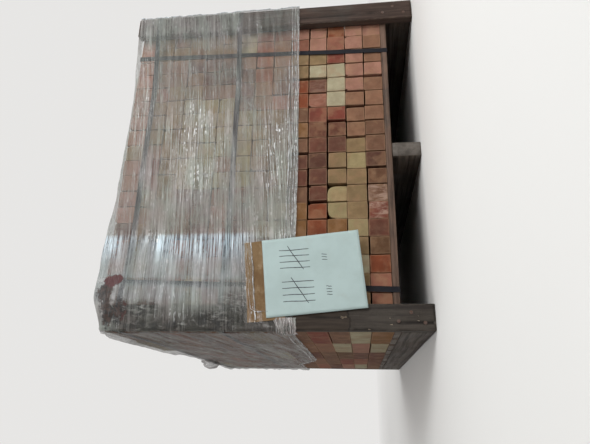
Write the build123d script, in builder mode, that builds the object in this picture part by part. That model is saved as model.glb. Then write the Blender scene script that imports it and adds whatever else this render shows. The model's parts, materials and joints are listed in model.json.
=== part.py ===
"""A pallet of terracotta bars: courses of square-section bars laid end-on on a wooden skid,
with a board post at each corner, four plastic straps, stretch film, a card pad and a sheet.
The last course stops after two rows, so the load steps down towards the back.

Millimetres, +Z up. The origin is on the floor under the middle of the load, X runs along
the front and Y runs from the front (-Y) to the back.
"""
import os

from build123d import *

os.makedirs("parts", exist_ok=True)

# The fired bars and how they are laid
bar_width = 50.0            # across the front
bar_height = 55.5
bar_length = 239.4          # from front to back
bars_across = 20
rows_deep = 5
courses = 14
rows_in_last_course = 2
joint = 0.7                 # bars pushed together
row_joint = 0.7             # between the ends of two rows
wide_gap = 3.8              # where a course doesn't close up
joint_depth = 14.0          # how far a joint is cut into its face

# After how many bars, counted from the left, a course has a wide gap
wide_gaps = [
    (9, 15),
    (13, 15),
    (8, 12),
    (7, 15),
    (10, 15),
    (6, 14),
    (9, 16),
    (4, 12),
    (8, 15),
    (11, 17),
    (5, 13),
    (9, 14),
    (7, 15),
    (3, 12),
]

# The wooden skid
stringer_width = 44.0
stringer_height = 80.0
board_thickness = 18.0
board_width = 116.0
boards = 9

# The corner posts
post_width = 67.0
post_thickness = 27.0
post_round = 3.0
post_height_front_left = 850.0
post_height_front_right = 884.0
post_height_back_left = 838.0
post_height_back_right = 846.0

# The plastic straps
strap_width = 15.0
strap_thickness = 0.8
strap_clearance = 0.2
upright_strap_left_x = -388.0
upright_strap_right_x = 358.0
upright_strap_lean = 28.0   # how far its top stands to the right of its foot
strap_level_low = 538.0
strap_level_high = 812.0
wrap_slant = 200.0          # how far beside a post the level straps and the film meet the bars

# The stretch film
film_thickness = 0.8
film_clearance = 0.4
film_bottom = 348.0
film_above_load = 10.0
film_slope = 130.0          # how far back its top edge takes to come down the step

# The card pad and the sheet of paper stuck to the film at the front
card_width = 220.0
card_height = 96.0
card_thickness = 2.0
card_x = -376.0
card_z = 425.0
card_turn = 5.5
sheet_width = 205.0
sheet_height = 255.0
sheet_thickness = 0.5
sheet_x = -365.0
sheet_z = 298.0
sheet_turn = 5.7
stuck_clearance = 0.2

# What follows from the sizes above
wide_gaps_in_course = len(wide_gaps[0])
load_width = (
    bars_across * bar_width
    + (bars_across - 1 - wide_gaps_in_course) * joint
    + wide_gaps_in_course * wide_gap
)
load_depth = rows_deep * bar_length + (rows_deep - 1) * row_joint
deck_top = stringer_height + board_thickness
load_top = deck_top + courses * bar_height
step_top = load_top - bar_height
step_y = -load_depth / 2 + rows_in_last_course * (bar_length + row_joint) - row_joint
board_gap = (load_depth - boards * board_width) / (boards - 1)
post_face_y = load_depth / 2 + post_thickness
film_reach = strap_clearance + strap_thickness + film_clearance
film_front_y = post_face_y + film_reach + film_thickness


def joints_of(course):
    """The middle and the width of each upright joint of one course, from left to right."""
    found = []
    x = -load_width / 2
    for count in range(1, bars_across):
        x += bar_width
        width = wide_gap if count in wide_gaps[course % len(wide_gaps)] else joint
        found.append((x + width / 2, width))
        x += width
    return found


# The distance from the middle of the load to each joint between two rows
row_joints = [
    -load_depth / 2 + count * (bar_length + row_joint) - row_joint / 2
    for count in range(1, rows_deep)
]

# The line that the level straps and the film follow: round the posts, and in to the bars
wrap_line = [
    (-load_width / 2, -post_face_y),
    (-load_width / 2 + post_width, -post_face_y),
    (-load_width / 2 + post_width + wrap_slant, -load_depth / 2),
    (load_width / 2 - post_width - wrap_slant, -load_depth / 2),
    (load_width / 2 - post_width, -post_face_y),
    (load_width / 2, -post_face_y),
    (load_width / 2, post_face_y),
    (load_width / 2 - post_width, post_face_y),
    (load_width / 2 - post_width - wrap_slant, load_depth / 2),
    (-load_width / 2 + post_width + wrap_slant, load_depth / 2),
    (-load_width / 2 + post_width, post_face_y),
    (-load_width / 2, post_face_y),
]


def wrap_ring(inner, thickness):
    """A band that follows the wrap line, this far outside it and this thick."""
    with BuildSketch() as inside:
        with BuildLine():
            Polyline(*wrap_line, close=True)
        make_face()
        outer_corners = inside.vertices().filter_by(
            lambda corner: abs(corner.X) > load_width / 2 - post_width / 2
        )
        fillet(outer_corners, post_round)
        offset(amount=inner, kind=Kind.ARC)
    with BuildSketch() as outside:
        add(inside.sketch)
        offset(amount=thickness, kind=Kind.ARC)
        add(inside.sketch, mode=Mode.SUBTRACT)
    return outside.sketch


made = []

# The skid: three stringers from front to back, and boards across them
stringer_places = [
    ("stringer_left", -load_width / 2 + stringer_width / 2),
    ("stringer_middle", 0.0),
    ("stringer_right", load_width / 2 - stringer_width / 2),
]
for name, x in stringer_places:
    with BuildPart() as stringer:
        with BuildSketch(Plane.XY) as stringer_plan:
            with Locations((x, 0)):
                Rectangle(stringer_width, load_depth)
        extrude(amount=stringer_height)
    stringer.part.label = name
    made.append(stringer.part)

for index in range(boards):
    board_y = -load_depth / 2 + board_width / 2 + index * (board_width + board_gap)
    with BuildPart() as board:
        with BuildSketch(Plane.XY.offset(stringer_height)) as board_plan:
            with Locations((0, board_y)):
                Rectangle(load_width, board_width)
        extrude(amount=board_thickness)
    board.part.label = f"deck_board_{index + 1}"
    made.append(board.part)

# The courses: each is a slab of bars, with the joints between the bars cut into its faces
for course in range(courses):
    course_bottom = deck_top + course * bar_height
    course_top = course_bottom + bar_height
    last_course = course == courses - 1
    back = step_y if last_course else load_depth / 2
    seen_from = -load_depth / 2 if last_course else step_y
    with BuildPart() as layer:
        with BuildSketch(Plane.XY.offset(course_bottom)) as layer_plan:
            with Locations((0, (back - load_depth / 2) / 2)):
                Rectangle(load_width, back + load_depth / 2)
            for x, width in joints_of(course):
                with Locations((x, -load_depth / 2), (x, back)):
                    Rectangle(width, 2 * joint_depth, mode=Mode.SUBTRACT)
            for y in row_joints:
                if y < back:
                    with Locations((-load_width / 2, y), (load_width / 2, y)):
                        Rectangle(2 * joint_depth, row_joint, mode=Mode.SUBTRACT)
        extrude(amount=bar_height)
        if course >= courses - 2:
            with BuildSketch(Plane.XY.offset(course_top)) as top_joints:
                for x, width in joints_of(course):
                    with Locations((x, (seen_from + back) / 2)):
                        Rectangle(width, back - seen_from)
                for y in row_joints:
                    if seen_from < y < back:
                        with Locations((0, y)):
                            Rectangle(load_width, row_joint)
            extrude(amount=-joint_depth, mode=Mode.SUBTRACT)
    layer.part.label = f"bar_course_{course + 1:02d}"
    made.append(layer.part)

# The corner posts: boards on end, nailed to the ends of the outer stringers
post_x = load_width / 2 - post_width / 2
post_y = load_depth / 2 + post_thickness / 2
post_places = [
    ("post_front_left", -post_x, -post_y, post_height_front_left),
    ("post_front_right", post_x, -post_y, post_height_front_right),
    ("post_back_left", -post_x, post_y, post_height_back_left),
    ("post_back_right", post_x, post_y, post_height_back_right),
]
for name, x, y, height in post_places:
    with BuildPart() as post:
        with BuildSketch(Plane.XY) as post_plan:
            with Locations((x, y)):
                RectangleRounded(post_width, post_thickness, post_round)
        extrude(amount=height)
    post.part.label = name
    made.append(post.part)

# The upright straps: under the deck, up the front, over the load and down the back, taut
# from the edge of the last course to the back. Seen from the front they lean to the right.
strap_front = -load_depth / 2 - strap_clearance
strap_back = load_depth / 2 + strap_clearance
strap_foot = stringer_height - strap_clearance
strap_step = load_top + strap_clearance
strap_back_top = step_top + strap_clearance
strap_side = [
    (strap_front, strap_foot),
    (strap_back, strap_foot),
    (strap_back, strap_back_top),
    (step_y, strap_step),
    (strap_front, strap_step),
]
upright_places = [
    ("upright_strap_left", upright_strap_left_x),
    ("upright_strap_right", upright_strap_right_x),
]
for name, x in upright_places:
    foot_x = x - upright_strap_lean / 2
    head_x = x + upright_strap_lean / 2
    low = strap_foot - strap_thickness
    high = strap_step + strap_thickness
    with BuildPart() as upright:
        with BuildSketch(Plane.YZ.offset(foot_x - strap_width)) as upright_loop:
            with BuildLine() as upright_inner:
                Polyline(*strap_side, close=True)
            make_face()
            offset(amount=strap_thickness, kind=Kind.INTERSECTION)
            with BuildLine() as upright_hole:
                Polyline(*strap_side, close=True)
            make_face(mode=Mode.SUBTRACT)
        extrude(amount=upright_strap_lean + 2 * strap_width)
        with BuildSketch(Plane.XZ.offset(-load_depth)) as upright_front:
            with BuildLine() as upright_leaning:
                Polyline(
                    (foot_x - strap_width / 2, low),
                    (foot_x + strap_width / 2, low),
                    (head_x + strap_width / 2, high),
                    (head_x - strap_width / 2, high),
                    close=True,
                )
            make_face()
        extrude(amount=2 * load_depth, mode=Mode.INTERSECT)
    upright.part.label = name
    made.append(upright.part)

# The level straps: round the load and its posts, outside the upright ones
belt_places = [
    ("level_strap_low", strap_level_low),
    ("level_strap_high", strap_level_high),
]
for name, z in belt_places:
    with BuildPart() as belt:
        with BuildSketch(Plane.XY.offset(z - strap_width / 2)) as belt_loop:
            add(wrap_ring(strap_clearance, strap_thickness))
        extrude(amount=strap_width)
    belt.part.label = name
    made.append(belt.part)

# The stretch film: a sleeve round the upper part of the load, its posts and its straps. Its
# top edge folds over the load, and comes down behind the last course.
film_top = load_top + film_above_load
film_back_top = step_top + film_above_load
with BuildPart() as film:
    with BuildSketch(Plane.XY.offset(film_bottom)) as film_ring:
        add(wrap_ring(film_reach, film_thickness))
    extrude(amount=film_top - film_bottom)
    with BuildSketch(Plane.YZ.offset(-load_width)) as film_cut:
        with BuildLine() as film_cut_edge:
            Polyline(
                (step_y, film_top),
                (step_y + film_slope, film_back_top),
                (load_depth, film_back_top),
                (load_depth, 2 * film_top),
                (step_y, 2 * film_top),
                close=True,
            )
        make_face()
    extrude(amount=2 * load_width, mode=Mode.SUBTRACT)
film.part.label = "stretch_film"
made.append(film.part)

# The card pad on the film, and the sheet of paper stuck over it
card_back = Plane(
    origin=(card_x, -(film_front_y + stuck_clearance), card_z),
    x_dir=(1, 0, 0),
    z_dir=(0, -1, 0),
)
with BuildPart() as card:
    with BuildSketch(card_back) as card_outline:
        with Locations(Rotation(0, 0, card_turn)):
            Rectangle(card_width, card_height)
    extrude(amount=card_thickness)
card.part.label = "card_pad"
made.append(card.part)

sheet_back = Plane(
    origin=(
        sheet_x,
        -(film_front_y + 2 * stuck_clearance + card_thickness),
        sheet_z,
    ),
    x_dir=(1, 0, 0),
    z_dir=(0, -1, 0),
)
with BuildPart() as sheet:
    with BuildSketch(sheet_back) as sheet_outline:
        with Locations(Rotation(0, 0, sheet_turn)):
            Rectangle(sheet_width, sheet_height)
    extrude(amount=sheet_thickness)
sheet.part.label = "paper_sheet"
made.append(sheet.part)

for piece in made:
    export_step(piece, f"parts/{piece.label}.step")
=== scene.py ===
"""Looks of a loaded pallet: fourteen courses of fired clay bars laid end-on on a wooden skid,
with a board post at each corner, plastic straps, stretch film, a card pad and a sheet of paper.

Metres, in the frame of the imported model: +Z up, -Y the front, the floor at 0.
"""
import json
import logging
import math
import random
from dataclasses import dataclass, field
from enum import Enum
from typing import Callable, Sequence, Union

import bmesh
import bpy
from mathutils import Matrix, Vector, noise

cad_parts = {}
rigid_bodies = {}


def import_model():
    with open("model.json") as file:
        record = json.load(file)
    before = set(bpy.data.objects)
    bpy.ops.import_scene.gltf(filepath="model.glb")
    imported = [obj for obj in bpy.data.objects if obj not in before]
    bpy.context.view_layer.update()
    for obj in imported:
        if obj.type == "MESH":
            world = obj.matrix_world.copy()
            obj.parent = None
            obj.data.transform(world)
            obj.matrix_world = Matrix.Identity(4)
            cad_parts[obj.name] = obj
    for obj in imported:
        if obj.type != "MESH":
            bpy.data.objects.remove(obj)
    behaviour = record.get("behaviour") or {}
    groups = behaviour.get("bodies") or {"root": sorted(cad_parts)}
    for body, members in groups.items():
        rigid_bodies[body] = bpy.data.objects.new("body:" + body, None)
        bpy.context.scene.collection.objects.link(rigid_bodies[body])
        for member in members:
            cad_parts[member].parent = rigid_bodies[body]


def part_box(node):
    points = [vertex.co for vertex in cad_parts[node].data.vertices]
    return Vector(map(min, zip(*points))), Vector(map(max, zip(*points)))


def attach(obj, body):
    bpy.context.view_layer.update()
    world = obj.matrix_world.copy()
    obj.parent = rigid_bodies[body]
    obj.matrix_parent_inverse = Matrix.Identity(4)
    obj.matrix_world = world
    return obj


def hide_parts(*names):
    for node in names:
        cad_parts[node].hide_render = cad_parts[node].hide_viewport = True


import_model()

log = logging.getLogger("pallet")
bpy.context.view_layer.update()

Pair = tuple[float, float]
Point = tuple[float, float, float]
Face = tuple[int, ...]
Socket = bpy.types.NodeSocket
Tree = bpy.types.NodeTree
Material = bpy.types.Material
Piece = bpy.types.Object
Value = Union[float, int, str, Sequence[float], "Wire"]

ORIGIN = (0.0, 0.0, 0.0)
NOISE_LOW, NOISE_HIGH = 0.3, 0.7
BACKDROP, BACKDROP_STRENGTH = (1.0, 0.99, 0.975), 0.80
# The film's shares, in order: how thick it is, a painted reflection, soil, grey smears, painted
# glints and painted shade.
FILM_SHARES = ("cover", "painted_reflection", "soil", "grey", "painted_glint_share", "shade")


def decoded(level: int) -> float:
    """One channel of an sRGB colour, from 0 to 255, as a linear share."""
    s = level / 255
    return s / 12.92 if s <= 0.04045 else ((s + 0.055) / 1.055) ** 2.4


def linear(red: int, green: int, blue: int) -> Point:
    """The linear colour of an sRGB one of 0 to 255."""
    return (decoded(red), decoded(green), decoded(blue))


def smooth(low: float, high: float, value: float) -> float:
    """0 below low, 1 above high, with soft ends; low may be the larger one."""
    t = min(1.0, max(0.0, (value - low) / (high - low)))
    return t * t * (3 - 2 * t)


def blob(x: float, z: float, middle: Pair, reach: Pair) -> float:
    """A soft round patch: 1 in its middle, 0 beyond its reach."""
    away = math.hypot((x - middle[0]) / reach[0], (z - middle[1]) / reach[1])
    return smooth(1.0, 0.35, away)


def wobble(*place: float) -> float:
    """Smooth noise from about -1 to 1 at one to three coordinates."""
    return noise.noise(Vector((*place, 0.0, 0.0, 0.0)[:3]))


# ---- node trees


class Wire:
    """What a node puts out. Plain arithmetic on it adds Math nodes to its graph."""

    def __init__(self, graph: "Graph", socket: Socket) -> None:
        """Keeps the graph and the output socket."""
        self.graph, self.socket = graph, socket

    def __add__(self, other: Value) -> "Wire":
        """The sum."""
        return self.graph.math("ADD", self, other)

    def __sub__(self, other: Value) -> "Wire":
        """The difference."""
        return self.graph.math("SUBTRACT", self, other)

    def __rsub__(self, other: Value) -> "Wire":
        """The difference from a number."""
        return self.graph.math("SUBTRACT", other, self)

    def __mul__(self, other: Value) -> "Wire":
        """The product."""
        return self.graph.math("MULTIPLY", self, other)

    def most(self, other: Value) -> "Wire":
        """The larger of the two."""
        return self.graph.math("MAXIMUM", self, other)

    def least(self, other: Value) -> "Wire":
        """The smaller of the two."""
        return self.graph.math("MINIMUM", self, other)

    def wave(self, waves: float) -> "Wire":
        """Its sine, at so many radians to a metre."""
        return self.graph.math("SINE", self * waves)

    def span(self, low: Value, high: Value, to_low: float = 0.0, to_high: float = 1.0) -> "Wire":
        """Takes the value from one range to another, with soft ends."""
        return self.graph.out("ShaderNodeMapRange", {
            "Value": self, "From Min": low, "From Max": high, "To Min": to_low,
            "To Max": to_high}, interpolation_type="SMOOTHSTEP")

    def between(self, low: float, high: float) -> "Wire":
        """Takes the usual range of a noise to another one."""
        return self.span(NOISE_LOW, NOISE_HIGH, low, high)

    def noise(self, scale: Value, detail: float = 3.0, rough: float = 0.5, bend: float = 0.0,
              output: int | str = 0) -> "Wire":
        """A noise at this place, by its waves to a metre, octaves, their strength and bend."""
        return self.graph.out("ShaderNodeTexNoise", {
            "Vector": self, "Scale": scale, "Detail": detail, "Roughness": rough,
            "Distortion": bend}, output)

    def seeded(self, scale: Value, seed: "Wire", output: int | str = 0) -> "Wire":
        """A noise read at this place, another one for each seed."""
        return self.graph.out("ShaderNodeTexNoise", {
            "Vector": self, "W": seed, "Scale": scale, "Detail": 2.0}, output,
            noise_dimensions="4D")

    def stretched(self, scale: Point, turn: Point = (0, 0, 0)) -> "Wire":
        """This place turned and scaled by a Mapping node."""
        return self.graph.out("ShaderNodeMapping", {
            "Vector": self, "Scale": scale, "Rotation": turn}, vector_type="POINT")

    def parts(self) -> list["Wire"]:
        """The three coordinates of this place."""
        node = self.graph.put("ShaderNodeSeparateXYZ", {0: self})
        return [Wire(self.graph, socket) for socket in node.outputs]

    def under(self, *layers: tuple["Wire", Value]) -> "Wire":
        """Lays other colours over this one.

        Args:
            layers: Each one's share and colour, from the lowest to the top one.

        Returns:
            The mixed colour.
        """
        colour = self
        for share, other in layers:
            colour = self.graph.mix(share, colour, other)
        return colour

    def tinted(self, by: "Wire", low: float, high: float, ends: Sequence[Pair]) -> "Wire":
        """Multiplies red, green and blue by factors that run from end to end with a value."""
        factors = {name: by.span(low, high, *pair)
                   for name, pair in zip(("Red", "Green", "Blue"), ends)}
        return self.graph.mix(1.0, self, self.graph.out("ShaderNodeCombineColor", factors),
                              "MULTIPLY")


class Graph:
    """Puts nodes into one tree and joins them."""

    def __init__(self, tree: Tree) -> None:
        """Keeps the tree."""
        self.tree = tree

    def feed(self, socket: Socket, value: Value) -> None:
        """Links a wire to a socket, or sets the socket's own value.

        Args:
            socket: The input.
            value: A wire, a number, a name, or the numbers of a vector or a colour.
        """
        if isinstance(value, Wire):
            self.tree.links.new(value.socket, socket)
        elif socket.type == "RGBA" and len(value) == 3:
            socket.default_value = (*value, 1.0)
        else:
            socket.default_value = value

    def put(self, kind: str, inputs: dict | None = None, **settings: object) -> bpy.types.Node:
        """Adds a node.

        Args:
            kind: The node's type.
            inputs: What each input is fed, by its name or number.
            settings: The node's own properties.

        Returns:
            The new node.
        """
        node = self.tree.nodes.new(kind)
        for key, value in settings.items():
            setattr(node, key, value)
        for key, value in (inputs or {}).items():
            self.feed(node.inputs[key], value)
        return node

    def out(self, kind: str, inputs: dict | None = None, output: int | str = 0,
            **settings: object) -> Wire:
        """Adds a node and gives one of its outputs."""
        return Wire(self, self.put(kind, inputs, **settings).outputs[output])

    def math(self, operation: str, *values: Value) -> Wire:
        """The result of one Math node."""
        return self.out("ShaderNodeMath", dict(enumerate(values)), operation=operation)

    def vector(self, operation: str, *values: Value) -> Wire:
        """The result of one Vector Math node, whose SCALE has its factor last."""
        places = (0, "Scale") if operation == "SCALE" else (0, 1)
        return self.out("ShaderNodeVectorMath", dict(zip(places, values)), operation=operation)

    def joined(self, x: Value, y: Value) -> Wire:
        """A place in a plane, from its two coordinates."""
        return self.out("ShaderNodeCombineXYZ", {0: x, 1: y})

    def mix(self, share: Value, first: Value, second: Value, way: str = "MIX") -> Wire:
        """Mixes a share of the second colour into the first one."""
        return self.out("ShaderNodeMix", {0: share, 6: first, 7: second}, 2, data_type="RGBA",
                        blend_type=way)

    def attribute(self, name: str, output: str = "Fac") -> Wire:
        """A value that the mesh carries."""
        return self.out("ShaderNodeAttribute", output=output, attribute_name=name)

    def place(self) -> Wire:
        """Where a point is on the object."""
        return self.out("ShaderNodeTexCoord", output="Object")

    def ray(self, kind: str) -> Wire:
        """1 for a ray of one kind."""
        return self.out("ShaderNodeLightPath", output=f"Is {kind} Ray")

    def seen_ray(self) -> Wire:
        """1 for a ray that the background is seen by: from the camera, a gloss or a glass."""
        return self.ray("Camera").most(self.ray("Glossy").most(self.ray("Transmission")))

    def group(self, tree: Tree, **inputs: Value) -> dict[str, Wire]:
        """Places a node group.

        Args:
            tree: The group.
            inputs: What each input is fed; its name has _ for each space.

        Returns:
            The outputs by name.
        """
        named = {label.replace("_", " "): value for label, value in inputs.items()}
        node = self.put("ShaderNodeGroup", named, node_tree=tree)
        return {socket.name: Wire(self, socket) for socket in node.outputs}

    def bump(self, height: Wire, strength: float, distance: float) -> Wire:
        """The normal of a Bump node."""
        return self.out("ShaderNodeBump", {"Height": height, "Strength": strength,
                                           "Distance": distance})


class Group(Graph):
    """A node group with named sockets."""

    def __init__(self, name: str, inputs: dict[str, Value], outputs: Sequence[str],
                 kind: str = "ShaderNodeTree") -> None:
        """Starts the group.

        Args:
            name: Its name.
            inputs: Each input's name and first value; three numbers make a vector, a string names
                another type of socket.
            outputs: The outputs' names; the one called Geometry is a mesh.
            kind: The type of tree.
        """
        super().__init__(bpy.data.node_groups.new(name, kind))
        plain = {float: "NodeSocketFloat", int: "NodeSocketInt", tuple: "NodeSocketVector"}
        for label, value in inputs.items():
            socket = self.tree.interface.new_socket(
                label, in_out="INPUT", socket_type=plain.get(type(value), value))
            if type(value) in plain:
                socket.default_value = value
        for label in outputs:
            mesh = label == "Geometry"
            self.tree.interface.new_socket(
                label, in_out="OUTPUT",
                socket_type="NodeSocketGeometry" if mesh else "NodeSocketFloat")
        node = self.put("NodeGroupInput")
        self.given = {label: Wire(self, node.outputs[label]) for label in inputs}
        self.results = self.put("NodeGroupOutput").inputs

    def give(self, **outputs: Wire) -> Tree:
        """Joins the outputs, by name, and gives the tree."""
        for label, wire in outputs.items():
            self.feed(self.results[label], wire)
        return self.tree


class Growth(Group):
    """A Geometry Nodes tree that grows a mesh from a seedbed's points or edges."""

    def __init__(self, name: str, **inputs: Value) -> None:
        """Starts the tree; an input's name has _ for each space."""
        sizes = {label.replace("_", " "): value for label, value in inputs.items()}
        super().__init__(name, {"Geometry": "NodeSocketGeometry",
                                "Finish": "NodeSocketMaterial", **sizes}, ["Geometry"],
                         "GeometryNodeTree")

    def named(self, label: str, kind: str = "FLOAT_VECTOR") -> Wire:
        """A value carried by the points."""
        return self.out("GeometryNodeInputNamedAttribute", {"Name": label}, "Attribute",
                        data_type=kind)

    def real(self, mesh: Wire) -> Wire:
        """The mesh with its instances made real."""
        return self.out("GeometryNodeRealizeInstances", {0: mesh})

    def on_points(self, shape: Wire, turn: str, size: str, **others: Value) -> Wire:
        """Sets a shape on each point of the seedbed and makes it real.

        Args:
            shape: The shape, or the shapes.
            turn: The attribute that turns it.
            size: The attribute that sizes it.
            others: What other inputs are fed, with _ for each space.

        Returns:
            The mesh.
        """
        points = self.out("GeometryNodeMeshToPoints", {"Mesh": self.given["Geometry"]})
        turned = self.out("FunctionNodeEulerToRotation", {0: self.named(turn)})
        return self.real(self.out("GeometryNodeInstanceOnPoints", {
            "Points": points, "Instance": shape, "Rotation": turned, "Scale": self.named(size),
            **{label.replace("_", " "): value for label, value in others.items()}}))

    def dressed(self, mesh: Wire) -> Tree:
        """Puts the finish on the mesh and gives the tree."""
        return self.give(Geometry=self.out("GeometryNodeSetMaterial", {
            "Geometry": mesh, "Material": self.given["Finish"]}))


class Surface(Graph):
    """A material's graph, round its Principled BSDF."""

    def __init__(self, name: str) -> None:
        """Starts the material.

        Args:
            name: Its name.
        """
        self.material = bpy.data.materials.new(name)
        self.material.use_nodes = True
        super().__init__(self.material.node_tree)
        self.shader = self.tree.nodes["Principled BSDF"]

    def dressed(self, colour: Value, roughness: Value, **others: Value) -> Material:
        """Feeds the shader.

        Args:
            colour: The base colour.
            roughness: How matt it is.
            others: What other inputs are fed; their names have _ for each space.

        Returns:
            The material.
        """
        for label, value in {"Base_Color": colour, "Roughness": roughness, **others}.items():
            self.feed(self.shader.inputs[label.replace("_", " ")], value)
        return self.material


class SharedEffects:
    """The shader groups that several finishes use."""

    def __init__(self) -> None:
        """Builds the groups."""
        self.patches, self.arris = self._patches(), self._arris()
        self.grain, self.pulls = self._grain(), self._pulls()

    def patch(self, place: Wire, scale: float, cover: float, softness: float) -> Wire:
        """Soft-edged patches at a place: how fine, how many and how soft they are."""
        return place.graph.group(self.patches, Vector=place, Scale=scale, Cover=cover,
                                 Softness=softness)["Mask"]

    def _patches(self) -> Tree:
        """Soft-edged patches of dust, dirt or damp.

        Returns:
            The group.
        """
        graph = Group("Patches", {"Vector": ORIGIN, "Scale": 20.0, "Cover": 0.4,
                                  "Softness": 0.12}, ["Mask"])
        place, scale, cover, softness = graph.given.values()
        edge = 0.72 - cover * 0.44
        mask = place.noise(scale, 6.0, 0.62).span(edge - softness, edge + softness)
        return graph.give(Mask=mask)

    def _arris(self) -> Tree:
        """Wear and painted highlight along a box's edges, from a place inside it and half its size.

        Returns:
            The group.
        """
        graph = Group("Arris wear", {"Local": ORIGIN, "Half Size": (0.1, 0.1, 0.1),
                                     "Reach": 0.004, "Ragged": 0.5}, ["Mask"])
        local, half, reach, ragged = graph.given.values()
        x, y, z = graph.vector("SUBTRACT", half, graph.vector("ABSOLUTE", local)).parts()
        second = x.least(y).most(x.most(y).least(z))
        reach = reach * (local.noise(420.0, 4.0, 0.7) * ragged + 0.35)
        worn = 1.0 - graph.math("DIVIDE", second, reach)
        worn.socket.node.use_clamp = True
        return graph.give(Mask=worn)

    def _grain(self) -> Tree:
        """Sawn wood with its grain along X: fibres, growth bands and drying checks.

        Returns:
            The group.
        """
        graph = Group("Sawn grain", {"Vector": ORIGIN, "Figure": 1.0, "Checks": 0.3},
                      ["Tone", "Check", "Height"])
        place, figure, checks = graph.given.values()
        sway = place.stretched((2.5, 9, 9)).noise(1.0, 2.0, output="Color")
        bent = graph.vector("ADD", place, graph.vector("SCALE", sway, 0.02))
        bands = bent.stretched((3.0, 95, 95)).noise(1.0, 3.0, 0.55)
        fibre = bent.stretched((14, 620, 620)).noise(1.0, 4.0, 0.65)
        tone = bands * 0.62 + fibre * 0.38
        edge = 0.80 - checks * 0.3
        check = bent.stretched((5.5, 170, 170)).noise(1.0, 2.0, 0.6).span(edge, edge + 0.05)
        saw = bent.parts()[0].wave(900.0)
        return graph.give(Tone=tone, Check=check,
                          Height=tone * figure + saw * 0.035 - check * 1.2)

    def _pulls(self) -> Tree:
        """The lines that stretching leaves in a film, along U of its map.

        Returns:
            The group.
        """
        graph = Group("Pull lines", {"Map": ORIGIN, "Lines": 90.0, "Run": 3.0, "Breaks": 20.0,
                                     "Cover": 0.4, "Sharpness": 0.08}, ["Mask", "Height"])
        place, lines, run, breaks, cover, sharpness = graph.given.values()
        along, up, _ = place.parts()
        up = up + place.noise(2.6, 2.0) * 0.006
        raw = graph.joined(along * run, up * lines).noise(1.0, 3.0, 0.6)
        dashes = graph.joined(along * breaks, up * (lines * 0.3)).noise(1.0, 2.0)
        height = (raw - 0.5) * dashes.span(0.38, 0.60, 0.25, 1.35) + 0.5
        edge = 0.76 - cover * 0.4
        return graph.give(Mask=height.span(edge, edge + sharpness), Height=height)


# ---- finishes


class ClayTone(Enum):
    """The colours that the bars were fired to."""

    OCHRE = linear(114, 79, 47)
    SALMON = linear(131, 84, 67)
    ORANGE = linear(116, 61, 39)
    BUFF = linear(124, 102, 72)
    BROWN = linear(88, 62, 43)
    BROWN_RED = linear(92, 55, 43)
    TAN = linear(107, 76, 58)
    WARM_TAN = linear(126, 90, 69)
    PINK_TAN = linear(150, 107, 90)
    MAUVE = linear(92, 58, 46)
    DARK_MAUVE = linear(82, 53, 42)
    RED = linear(111, 57, 46)
    CREAM = linear(158, 148, 121)
    YELLOW_CREAM = linear(144, 128, 92)
    SMEARED = linear(98, 68, 50)


@dataclass(frozen=True)
class ClayFinish:
    """Fired clay: mottled, dusty, pitted, its edges paler from rubbing and a painted highlight."""

    effects: SharedEffects
    half_size: Point
    flash: Point = linear(76, 46, 38)
    bloom: Point = linear(150, 116, 88)
    dust: Point = linear(160, 134, 108)
    lime: Point = linear(166, 140, 124)
    # Pale arrises: rubbed wear and, in part, a painted highlight along the edges.
    rubbed: Point = linear(172, 140, 112)
    pit: Point = linear(60, 40, 32)

    def build(self) -> Material:
        """Makes the material, which reads each bar's own tone and place.

        Returns:
            The material.
        """
        graph = Surface("fired_clay")
        local = graph.attribute("bar_local", "Vector")
        away = graph.vector("SCALE", (3.1, 5.7, 2.3), graph.attribute("bar_seed"))
        place = graph.vector("ADD", local, away)
        mottle = place.noise(30.0, 5.0, 0.6)
        tone = graph.attribute("bar_tone", "Color").tinted(
            mottle, NOISE_LOW, NOISE_HIGH, ((0.84, 1.14), (0.84, 1.17), (0.84, 1.22)))
        bloom = graph.vector("ADD", place, (4.0, 0.0, 1.0)).noise(24.0, 3.0, 0.5)
        runs = place.stretched((95, 95, 30)).noise(1.0, 5.0, 0.66, 0.5)
        # Pale arrises: rubbed wear, partly a painted highlight along the edges.
        worn = graph.group(self.effects.arris, Local=local, Half_Size=self.half_size,
                           Reach=0.0042, Ragged=1.2)["Mask"]
        pits = graph.out("ShaderNodeTexVoronoi", {"Vector": place, "Scale": 210.0,
                                                  "Randomness": 1.0}, "Distance")
        pit = pits.span(0.20, 0.10) * place.noise(60.0, 2.0).span(0.5, 0.62)
        colour = tone.under(
            (self.effects.patch(place, 13.0, 0.30, 0.1) * 0.28, self.flash),
            (bloom.span(0.5, 0.64, 0.0, 0.34), self.bloom),
            (self.effects.patch(place, 48.0, 0.34, 0.16) * 0.14, self.dust),
            (runs.span(0.40, 0.68) * graph.attribute("bar_lime"), self.lime),
            (worn * 0.32, self.rubbed), (pit * 0.65, self.pit))
        height = place.noise(520.0, 3.0, 0.7) * 0.35 + mottle - (pit + worn) * 0.5
        return graph.dressed(colour, mottle.between(0.80, 0.95), Specular_IOR_Level=0.15,
                             Normal=graph.bump(height, 0.6, 0.0012))


class GrainAxis(Enum):
    """Which way a timber's grain runs, as the turn that takes it to X."""

    ACROSS = (0.0, 0.0, 0.0)
    DEEP = (0.0, 0.0, math.radians(90))
    UPRIGHT = (0.0, math.radians(90), 0.0)


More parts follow.
